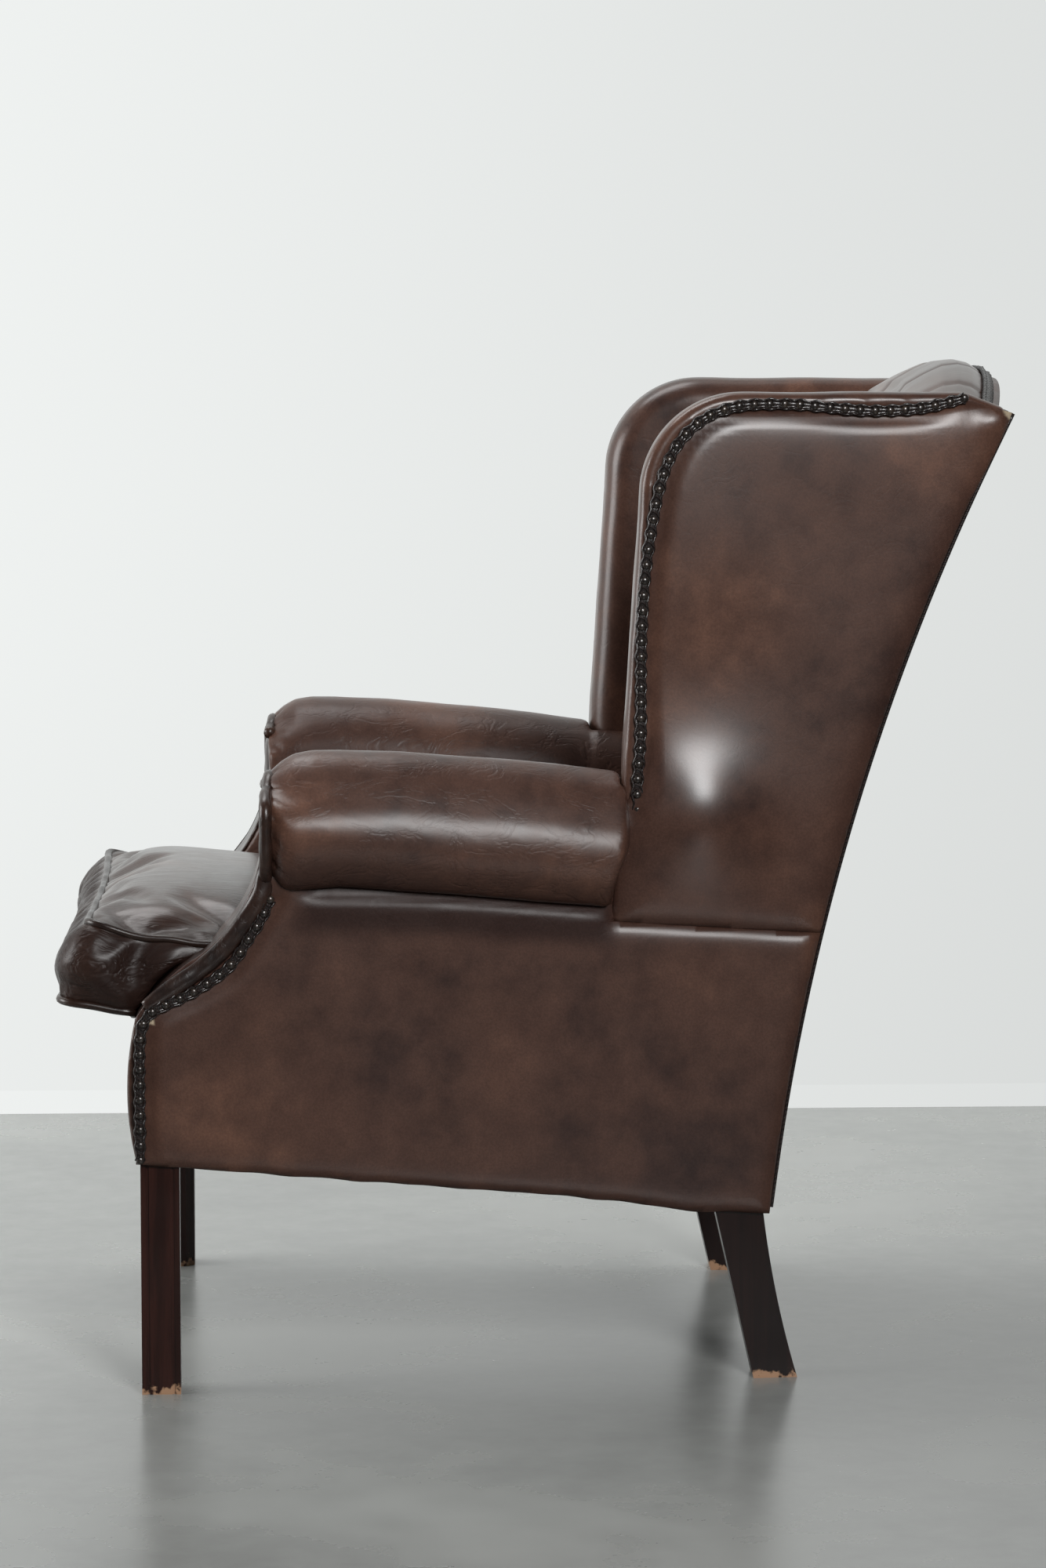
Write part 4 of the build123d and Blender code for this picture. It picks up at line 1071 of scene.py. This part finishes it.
def button_places():
    """Places (x, z) of the buttons, in rows that are staggered by half a space."""
    look = settings().tufts
    for row in range(look.rows):
        for column in range(-3, 4):
            x = (column + (0.5 if row % 2 == 0 else 0.0)) * look.across
            if abs(x) < 0.205:
                yield x, look.top_row - row * look.rise


# The cushion's lines lie in the seat's raked plane. Front and ear are runs back from the seat's front edge, by
# the height over it.
CUSHION_LOW, CUSHION_BOXING, CUSHION_REAR = 0.149, 0.088, 0.474
# Half its width over the ears, and the radius of their corners
CUSHION_HALF, CUSHION_CORNER = 0.303, 0.022
CUSHION_FRONT = ((0.149, -0.092), (0.165, -0.0889), (0.185, -0.085), (0.205, -0.0812), (0.225, -0.0773),
                 (0.237, -0.075))
CUSHION_EAR = ((0.149, -0.018), (0.165, -0.011), (0.185, 0.002), (0.205, 0.021), (0.225, 0.052), (0.237, 0.068))
# Cells of the cushion's net across an ear and the body between, and back along the ears and the body
CUSHION_NET = (10, 48, 14, 56)
BOXING_ROWS = 9


def seat_place(x, run, height):
    """Place in the seat's raked plane."""
    y = FRONT_Y + run * cos(SEAT_RAKE) + height * sin(SEAT_RAKE)
    return Vector((x, y, SEAT_EDGE + height * cos(SEAT_RAKE) - run * sin(SEAT_RAKE)))


def cushion_lines(level):
    """Height, and front, ear and rear lines of the cushion, at a share of its boxing's height."""
    height = CUSHION_LOW + CUSHION_BOXING * level
    front, ear = along_table(CUSHION_FRONT, height), along_table(CUSHION_EAR, height)
    return height, front, ear, CUSHION_REAR + 0.003 * level


def cushion_shape():
    """T-shaped cushion as one closed net: top, boxing and bottom."""
    ear_cells, body_cells, ear_rows, body_rows = CUSHION_NET
    columns, rows = 2 * ear_cells + body_cells, ear_rows + body_rows
    bm = bmesh.new()
    level, _, column, row = (bm.verts.layers.float.new(name) for name in ("level", "painted_shade", "column", "row"))
    bmesh.ops.create_grid(bm, x_segments=columns, y_segments=rows, size=0.5)
    for vert in bm.verts:
        vert[column] = (vert.co.x + 0.5) * columns
        vert[row] = (vert.co.y + 0.5) * rows
        vert[level] = 1.0
    outside = []
    for face in bm.faces:
        c = sum(v[column] for v in face.verts) / 4
        r = sum(v[row] for v in face.verts) / 4
        if r > ear_rows and (c < ear_cells or c > ear_cells + body_cells):
            outside.append(face)
    bmesh.ops.delete(bm, geom=outside, context="FACES")
    top = list(bm.faces)
    bottom = bmesh.ops.duplicate(bm, geom=top)
    low_faces = [g for g in bottom["geom"] if isinstance(g, bmesh.types.BMFace)]
    for vert in {v for f in low_faces for v in f.verts}:
        vert[level] = 0.0
    bmesh.ops.reverse_faces(bm, faces=low_faces)
    edges = [e for f in top for e in f.edges if e.is_boundary]
    lower = [e for f in low_faces for e in f.edges if e.is_boundary]
    for index in range(1, BOXING_ROWS):
        fresh, edges = extruded(bm, edges)
        for vert in fresh:
            vert[level] = 1.0 - index / BOXING_ROWS
    for vert in bm.verts:
        vert.co = cushion_place(vert[column], vert[row], vert[level])
    bmesh.ops.bridge_loops(bm, edges=edges + lower)
    bmesh.ops.recalc_face_normals(bm, faces=bm.faces)
    return bm


def cushion_place(column, row, level):
    """Where a point of the cushion's net lies."""
    ear_cells, body_cells, ear_rows, body_rows = CUSHION_NET
    height, front, ear, rear = cushion_lines(level)
    if row <= ear_rows:
        run = front + (ear - front) * row / ear_rows
    else:
        run = ear + (rear - ear) * (row - ear_rows) / body_rows
    y = seat_place(0, run, height).y
    body = side_x(max(y, FRONT_Y + ear), ARM_WIDTH) - 0.007
    middle = ear_cells + body_cells / 2
    off = abs(column - middle)
    if off <= body_cells / 2:
        x = body * off / (body_cells / 2)
    else:
        x = body + (CUSHION_HALF - body) * (off - body_cells / 2) / ear_cells
    run += 0.007 * (1 - (x / CUSHION_HALF) ** 2) * max(0.0, 1 - row / ear_rows)
    corner_x, corner_run = CUSHION_HALF - CUSHION_CORNER, front + CUSHION_CORNER
    out_x, out_run = x - corner_x, corner_run - run
    if out_x > 0 and out_run > 0:
        scale = max(out_x, out_run) / hypot(out_x, out_run)
        x, run = corner_x + out_x * scale, corner_run - out_run * scale
    return seat_place(x if column >= middle else -x, run, height)


def cushion_pieces():
    """Crowned and settled cushion with the piping in its two seams."""
    look = settings().cushion
    bm = cushion_shape()
    level = bm.verts.layers.float["level"]
    rim = [e for e in bm.edges if all(v[level] > 0.999 for v in e.verts)
           and any(v[level] < 0.999 for f in e.link_faces for v in f.verts)]
    tree = wall_tree([[v.co for v in e.verts] for e in rim], Vector((0, 0, 0.1)))
    up = Vector((0, sin(SEAT_RAKE), cos(SEAT_RAKE)))
    painted_shade = bm.verts.layers.float["painted_shade"]
    bm.normal_update()
    for vert in bm.verts:
        gap = tree.find_nearest(vert.co)[3]
        # Painted shade, darker and with less coat: towards the ear sides on the top, and all over the boxing
        # and the bottom.
        vert[painted_shade] = 0.55 * smooth_step(0.23, 0.285, abs(vert.co.x)) if vert[level] > 0.999 else 0.78
        if 0.001 < vert[level] < 0.999:
            ahead = smooth_step(0.01, -0.05, vert.co.y - FRONT_Y)
            vert.co += vert.normal * (0.005 + 0.011 * ahead) * sin(pi * vert[level] ** 1.25) ** 0.8
        if vert[level] > 0.999:
            across = 1 - min(abs(vert.co.x) / 0.31, 1.0) ** 2.4
            vert.co += up * look.crown * (1 - exp(-((gap / 0.030) ** 1.1))) * across
        elif vert[level] < 0.001:
            vert.co -= up * 0.008 * (1 - exp(-gap / 0.02))
        run = (vert.co.y - FRONT_Y) * cos(SEAT_RAKE)
        side = smooth_step(0.22, 0.30, abs(vert.co.x))
        droop = 0.009 * vert[level] * side * smooth_step(-0.06, 0.02, run)
        curl = (1 - vert[level]) ** 2 * (1 - smooth_step(-0.085, -0.010, run))
        wave = ripple(vert.co, 0.034, 0.0035, 9.0) * (1 - smooth_step(0.0, 0.05, gap))
        vert.co += up * (0.011 * curl - droop + wave) + Vector((0, -0.004 * curl, 0))
    bm.verts.index_update()
    seams = {1.0: [], 0.0: []}
    for vert in bm.verts:
        others = [e.other_vert(vert)[level] for e in vert.link_edges]
        if vert[level] > 0.999 and min(others) < 0.999:
            seams[1.0].append(vert.index)
        if vert[level] < 0.001 and max(others) > 0.001:
            seams[0.0].append(vert.index)
    piece = add_piece("seat_cushion_leather", bm, cushion_leather())
    pins = piece.vertex_groups.new(name="seams")
    pins.add(seams[1.0] + seams[0.0], 1.0, "REPLACE")
    relax_cushion(piece, look.slack)
    rings = {side: ordered_ring(piece.data, set(indices)) for side, indices in seams.items()}
    finish = piece.modifiers.new("Finer", "SUBSURF")
    finish.levels = finish.render_levels = 1
    filled = ("seat_cushion_cover", "seat_cushion_core")
    place_on(piece, "cushion_leather", *filled, body="seat_cushion", fill=0.65)
    for side, name in ((1.0, "top"), (0.0, "bottom")):
        points = curve_points(rings[side], 0.006, cyclic=True)
        tube = swept(round_profile(look.piping), frames_along(points, up, cyclic=True), cyclic=True)
        piping = add_piece("cushion_welt_" + name, tube, leather("Piping leather", 8.0, 0.3, 0.2))
        place_on(piping, "cushion_leather", "cushion_piping_" + name, body="seat_cushion")


def ordered_ring(mesh, members):
    """Places of a closed ring of vertices, in order round it."""
    links = {index: [] for index in members}
    for edge in mesh.edges:
        a, b = edge.vertices
        if a in members and b in members:
            links[a].append(b)
            links[b].append(a)
    ring = [next(iter(members))]
    ring.append(links[ring[0]][0])
    while ring[-1] != ring[0]:
        ring.append(next(v for v in links[ring[-1]] if v != ring[-2]))
    return [mesh.vertices[index].co.copy() for index in ring[:-1]]


# Steps of the cushion's cloth simulation, and the furthest that it may move the leather
SETTLE_FRAMES = 21
SETTLE_LIMIT = 0.007


def relax_cushion(piece, slack):
    """Lets the leather settle over its filling: a short cloth simulation with the seams held."""
    rest = [v.co.copy() for v in piece.data.vertices]
    cloth_work = piece.modifiers.new("Settle", "CLOTH")
    work = cloth_work.settings
    work.quality = 6
    work.mass = 0.4
    work.tension_stiffness = work.compression_stiffness = 18
    work.shear_stiffness = 8
    work.bending_stiffness = 0.6
    work.shrink_min = -slack
    work.use_pressure = True
    work.uniform_pressure_force = 0.8
    work.vertex_group_mass = "seams"
    work.pin_stiffness = 1
    work.effector_weights.gravity = 0
    cloth_work.collision_settings.use_collision = False
    scene = bpy.context.scene
    for number in range(SETTLE_FRAMES):
        scene.frame_set(number + 1)
    mesh = evaluated(piece)
    scene.frame_set(1)
    piece.modifiers.remove(cloth_work)
    for vert, settled, before in zip(piece.data.vertices, mesh.vertices, rest):
        move = settled.co - before
        if move.length > SETTLE_LIMIT:
            move = move.normalized() * SETTLE_LIMIT
        vert.co = before + move
    bpy.data.meshes.remove(mesh)


class WINGCHAIR_OT_timber(bpy.types.Operator):
    """Polishes the legs and gives the hidden frame its wood"""
    bl_idname = "wingchair.timber"
    bl_label = "Timber"

    def execute(self, context):
        # Painted shade: the rear legs take the leg wood at 0.35 of its colour, standing for the shade they
        # stand in.
        dark = ("Rear legs in painted shade", 0.35)
        dress_nodes("leg_wood", lambda name: leg_wood() if name.startswith("front") else leg_wood(*dark))
        dress_nodes("frame_wood", lambda name: sawn_wood())
        return {"FINISHED"}


class WINGCHAIR_OT_springing(bpy.types.Operator):
    """Gives the webbing, hessian, springs and seat platform their cloth and steel"""
    bl_idname = "wingchair.springing"
    bl_label = "Springing"

    def execute(self, context):
        dress_nodes("webbing", lambda name: cloth("Jute webbing", (0.36, 0.27, 0.15), 350.0))
        dress_nodes("hessian", lambda name: cloth("Hessian", (0.42, 0.32, 0.19), 600.0))
        dress_nodes("spring_steel", lambda name: spring_wire())
        cotton = cloth("Platform cloth", (0.035, 0.026, 0.020), 1400.0)
        deck = add_piece("seat_platform", remeshed("deck", cad_shape("seat_deck"), 0.007, 5), cotton)
        place_on(deck, "platform_cloth", "seat_deck", fill=0.9)
        bm = cad_shape("bottom_cloth")
        bm.normal_update()
        bmesh.ops.delete(bm, geom=[f for f in bm.faces if f.normal.z > -0.5], context="FACES")
        area = sum(f.calc_area() for f in bm.faces)
        under = add_piece("dust_cloth", bm, cloth("Dust cloth", (0.012, 0.012, 0.013), 1500.0), smooth=False)
        wall = under.modifiers.new("Thickness", "SOLIDIFY")
        wall.thickness = 0.0008
        place_on(under, "dust_cloth", "bottom_cloth")
        return {"FINISHED"}


class WINGCHAIR_OT_inside_back(bpy.types.Operator):
    """Makes the deep buttoned inside back with its pleated crest and its buttons"""
    bl_idname = "wingchair.inside_back"
    bl_label = "Inside back"

    def execute(self, context):
        buttoned = leather("Buttoned leather", shade=0.8, gloss=0.95, sheen=0.30)
        back = add_piece("inside_back_leather", inside_back_shape(), buttoned)
        place_on(back, "leather", "inside_back_pad", fill=0.9)
        buttons = add_piece("leather_buttons", button_shape(), leather("Button leather", 20.0, 0.6, 0.85))
        place_on(buttons, "button_leather", "back_buttons")
        return {"FINISHED"}


class WINGCHAIR_OT_wings(bpy.types.Operator):
    """Makes the padded wings and their outside leather"""
    bl_idname = "wingchair.wings"
    bl_label = "Wings"

    def execute(self, context):
        both("wing_leather", wing_shape, leather(), "leather", "wing_pad", 0.9)
        both("outside_wing_leather", outside_wing_shape, outside_leather(), "leather", "outside_wing_panel")
        return {"FINISHED"}


class WINGCHAIR_OT_arms(bpy.types.Operator):
    """Makes the rolled arms, their pleated fronts, facings and outside leather"""
    bl_idname = "wingchair.arms"
    bl_label = "Arms"

    def execute(self, context):
        creased = leather("Creased leather", creases=4.0, scale=(34.0, 20.0, 34.0), gloss=0.60, sheen=0.36)
        both("arm_leather", arm_shape, creased, "leather", "arm_pad", 0.85)
        both("facing_leather", facing_shape, dark_leather(), "leather", "arm_facing")
        both("roll_welt", roll_welt, dark_leather(), "leather")
        both("arm_border", arm_border, dark_leather(), "leather")
        both("outside_arm_leather", outside_arm_shape, outside_leather(), "leather", "outside_arm_panel")
        return {"FINISHED"}


class WINGCHAIR_OT_panels(bpy.types.Operator):
    """Makes the outside back and the border over the front rail"""
    bl_idname = "wingchair.panels"
    bl_label = "Back and border"

    def execute(self, context):
        out = Vector((0, 0.94, -0.34)).normalized()
        bm = skin("outside_back_panel", out, 0.004, 0.012, 0.014, back=0.007, shape=outside_back_move)
        back = add_piece("outside_back_leather", bm, outside_leather())
        place_on(back, "leather", "outside_back_panel")
        bm = remeshed("border", cad_shape("front_border"), 0.003, 4)
        border = add_piece("border_leather", bm, leather("Border leather", shade=0.55))
        place_on(border, "leather", "front_border", fill=0.9)
        return {"FINISHED"}


class WINGCHAIR_OT_trim(bpy.types.Operator):
    """Makes the braids on the wings, arms and back, and their rows of nails"""
    bl_idname = "wingchair.trim"
    bl_label = "Braid and nails"

    def execute(self, context):
        paths = (("wing", WING_NAIL_PATH), ("arm", ARM_NAIL_PATH))
        for name, path in paths:
            both(name + "_braid", lambda: nail_braid(path), braid(), "gimp_leather", name + "_gimp")
        for name, path in paths:
            both(name + "_nails", lambda: nail_row(path), nail_metal(), "nail_brass")
        left = ribbon(curve_points(back_edge(), 0.006), back_normal, 0.0, 0.009, 0.0022)
        crest = ribbon(curve_points(crest_path(), 0.004), Vector((0, 0.65, 0.76)), 0.008)
        edge = add_piece("back_braid", joined(left, mirrored(left.copy()), crest), braid())
        place_on(edge, "gimp_leather", "back_gimp")
        return {"FINISHED"}


class WINGCHAIR_OT_cushion(bpy.types.Operator):
    """Makes the loose T-shaped cushion with its piping"""
    bl_idname = "wingchair.cushion"
    bl_label = "Seat cushion"

    def execute(self, context):
        cushion_pieces()
        return {"FINISHED"}


# The camera stands to the chair's left. Its turn is measured from the chair's front, its pitch is downwards.
CAMERA_PLACE = (5.3706, -0.2435, 1.1804)
CAMERA_TURN, CAMERA_PITCH = radians(87.48), radians(6.2239)
CAMERA_LENS = 113.886
# Name, place, target, size and power
LAMPS = (
    ("window", (0.2, -4.4, 1.6), (-0.3, 0, 0.4), (2.2, 2.2), 150),
    ("ceiling", (-1.0, -0.9, 3.5), (-0.7, -0.2, 0), (1.8, 1.8), 66),
    ("softbox", (4.2, 0.95, 2.45), (0.2, 0.1, 0.7), (1.1, 1.3), 165),
)


class WINGCHAIR_OT_studio(bpy.types.Operator):
    """Makes the floor, the wall, the lamps and the camera"""
    bl_idname = "wingchair.studio"
    bl_label = "Studio"

    def execute(self, context):
        look = settings().studio
        stage_plane("floor", Matrix.Diagonal((14, 14, 1, 1)), floor_finish(tuple(look.floor)))
        stage_plane("wall", upright(-look.wall_place, 3), wall_finish(tuple(look.wall)))
        board = wall_finish(tuple(1.04 * c for c in look.wall), "Painted board")
        stage_plane("skirting", upright(0.012 - look.wall_place, 0.016), board)
        for setup in LAMPS:
            lamp(*setup)
        world = bpy.data.worlds.new("Studio sky")
        world.use_nodes = True
        tree = world.node_tree
        sky = tree.nodes["Background"]
        sky.inputs["Color"].default_value = (*look.wall, 1)
        feed(sky.inputs["Strength"], output(tree, "LightPath", "Is Camera Ray") * 0.92 + 0.08)
        context.scene.world = world
        data = bpy.data.cameras.new("camera")
        data.lens, data.sensor_width = CAMERA_LENS, 36
        data.clip_start, data.clip_end = 0.1, 60
        camera = bpy.data.objects.new("camera", data)
        level = cos(CAMERA_PITCH)
        aim(camera, CAMERA_PLACE,
            Vector((-sin(CAMERA_TURN) * level, cos(CAMERA_TURN) * level, -sin(CAMERA_PITCH))))
        context.scene.camera = camera
        context.scene.view_settings.view_transform = "Standard"
        return {"FINISHED"}


def upright(x, half_height):
    """Matrix that stands the square up on the floor as a long wall that faces +X."""
    turned = Matrix.Rotation(pi / 2, 4, "Y") @ Matrix.Diagonal((half_height, 9, 1, 1))
    return Matrix.Translation((x, 0, half_height)) @ turned


def stage_plane(name, matrix, material):
    """Flat square of the studio, placed and stretched by a matrix."""
    bm = bmesh.new()
    bmesh.ops.create_grid(bm, x_segments=1, y_segments=1, size=1)
    bmesh.ops.transform(bm, matrix=matrix, verts=bm.verts)
    add_piece(name, bm, material, smooth=False)


def aim(made, place, ahead):
    """Puts a lamp or camera at a place and turns it to look ahead."""
    bpy.context.scene.collection.objects.link(made)
    made.location = place
    made.rotation_mode = "QUATERNION"
    made.rotation_quaternion = ahead.to_track_quat("-Z", "Y")


def lamp(name, place, target, size, power):
    """Soft rectangular lamp that looks at its target."""
    data = bpy.data.lights.new(name, "AREA")
    data.shape = "RECTANGLE"
    data.size, data.size_y = size
    data.energy = power
    aim(bpy.data.objects.new(name, data), place, Vector(target) - Vector(place))


def floor_finish(colour):
    """Polished concrete, with painted light that darkens it near the camera and a little to the right. Far
    before the chair it is dark to glossy rays, so that it doesn't veil the leather."""
    made, tree, surface = new_material("Polished floor")
    place = object_place(tree)
    clouds = noise_at(tree, place, Scale=1.7, Detail=3.0, Roughness=0.5, Distortion=0.2)
    flecks = noise_at(tree, place, Scale=14.0, Detail=5.0, Roughness=0.55)
    blend = clouds * 0.7 + flecks * 0.3
    low, high = (tuple(share * c for c in colour) + (1.0,) for share in (0.74, 1.26))
    shade = blend.spread(0.2, 0.8).between(low, high)
    x, y, _ = parts_of(place)
    # Painted light: the concrete darkens towards the camera and a little to the right.
    floor_painted_light = scaled(tree, shade, x.spread(-1.4, 1.2, 1.08, 0.56) * y.spread(0.1, 0.7, 1.0, 0.92))
    away = x.spread(1.0, 2.0, 0.0, 0.9) * output(tree, "LightPath", "Is Glossy Ray")
    feed(surface.inputs["Base Color"], away.between(floor_painted_light, (0.0, 0.0, 0.0, 1.0)))
    feed(surface.inputs["Roughness"], blend.spread(0.2, 0.8, 0.20, 0.32))
    return made


def wall_finish(colour, name="Plain wall"):
    """Wall that glows evenly for camera and glossy rays, with painted light that is lighter to the left and a
    little darker near the floor, and is clear from behind.
    """
    made, tree, surface = new_material(name)
    surface.inputs["Base Color"].default_value = (*colour, 1)
    surface.inputs["Roughness"].default_value = 0.9
    _, y, z = parts_of(object_place(tree))
    # Painted light: the glow is lighter to the left and a little darker near the floor.
    level = y.spread(-1.3, 1.3, 1.11, 0.885) * z.spread(-0.2, 0.9, 0.95, 1.0)
    plain = node(tree, "Emission", Color=scaled(tree, colour, level))
    camera, glossy = (output(tree, "LightPath", name) for name in ("Is Camera Ray", "Is Glossy Ray"))
    shown = either(camera.maths("ADD", camera, glossy, clamp=True), surface, plain)
    pick = either(output(tree, "NewGeometry", "Backfacing"), shown, node(tree, "BsdfTransparent"))
    tree.links.new(pick.outputs[0], tree.nodes["Material Output"].inputs["Surface"])
    return made


def either(factor, first, second):
    """Node that goes from the first node's shader to the second's as the factor rises."""
    made = node(factor.tree, "MixShader", Fac=factor)
    factor.tree.links.new(first.outputs[0], made.inputs[1])
    factor.tree.links.new(second.outputs[0], made.inputs[2])
    return made


def dress_nodes(slot, finish):
    """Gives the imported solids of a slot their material. finish(name) makes it."""
    for entry in frame["record"]["subparts"]:
        if entry["material_slot"] == slot:
            piece = frame["nodes"][entry["node"]]
            if not piece.material_slots:
                piece.data.materials.append(None)
            for place in piece.material_slots:
                place.material = finish(entry["node"])


class WINGCHAIR_PT_panel(bpy.types.Panel):
    """Lists the chair's sizes, colours and pieces"""
    bl_idname = "WINGCHAIR_PT_panel"
    bl_label = "Wing chair"
    bl_space_type = "VIEW_3D"
    bl_region_type = "UI"
    bl_category = "Wing chair"

    def draw(self, context):
        layout = self.layout
        for part in ("leather", "tufts", "nails", "cushion", "wood", "studio"):
            box = layout.box()
            box.label(text=part.capitalize())
            group_of = getattr(context.scene.wing_chair, part)
            for key in group_of.bl_rna.properties.keys():
                if key not in ("rna_type", "name"):
                    box.prop(group_of, key)
        for operator in OPERATORS:
            layout.operator(operator.bl_idname)


class WingChairSettings(bpy.types.PropertyGroup):
    leather: PointerProperty(type=LeatherSettings)
    tufts: PointerProperty(type=TuftSettings)
    nails: PointerProperty(type=NailSettings)
    cushion: PointerProperty(type=CushionSettings)
    wood: PointerProperty(type=WoodSettings)
    studio: PointerProperty(type=StudioSettings)


OPERATORS = (
    WINGCHAIR_OT_studio, WINGCHAIR_OT_timber, WINGCHAIR_OT_springing, WINGCHAIR_OT_inside_back,
    WINGCHAIR_OT_wings, WINGCHAIR_OT_arms, WINGCHAIR_OT_panels, WINGCHAIR_OT_trim, WINGCHAIR_OT_cushion,
)
CLASSES = (
    LeatherSettings, TuftSettings, NailSettings, CushionSettings, WoodSettings, StudioSettings,
    WingChairSettings, *OPERATORS, WINGCHAIR_PT_panel,
)


def register():
    for made in CLASSES:
        bpy.utils.register_class(made)
    bpy.types.Scene.wing_chair = PointerProperty(type=WingChairSettings)


def unregister():
    del bpy.types.Scene.wing_chair
    for made in reversed(CLASSES):
        bpy.utils.unregister_class(made)


def main():
    register()
    for operator in OPERATORS:
        name = operator.bl_idname.split(".")[1]
        getattr(bpy.ops.wingchair, name)()


if __name__ == "__main__":
    main()
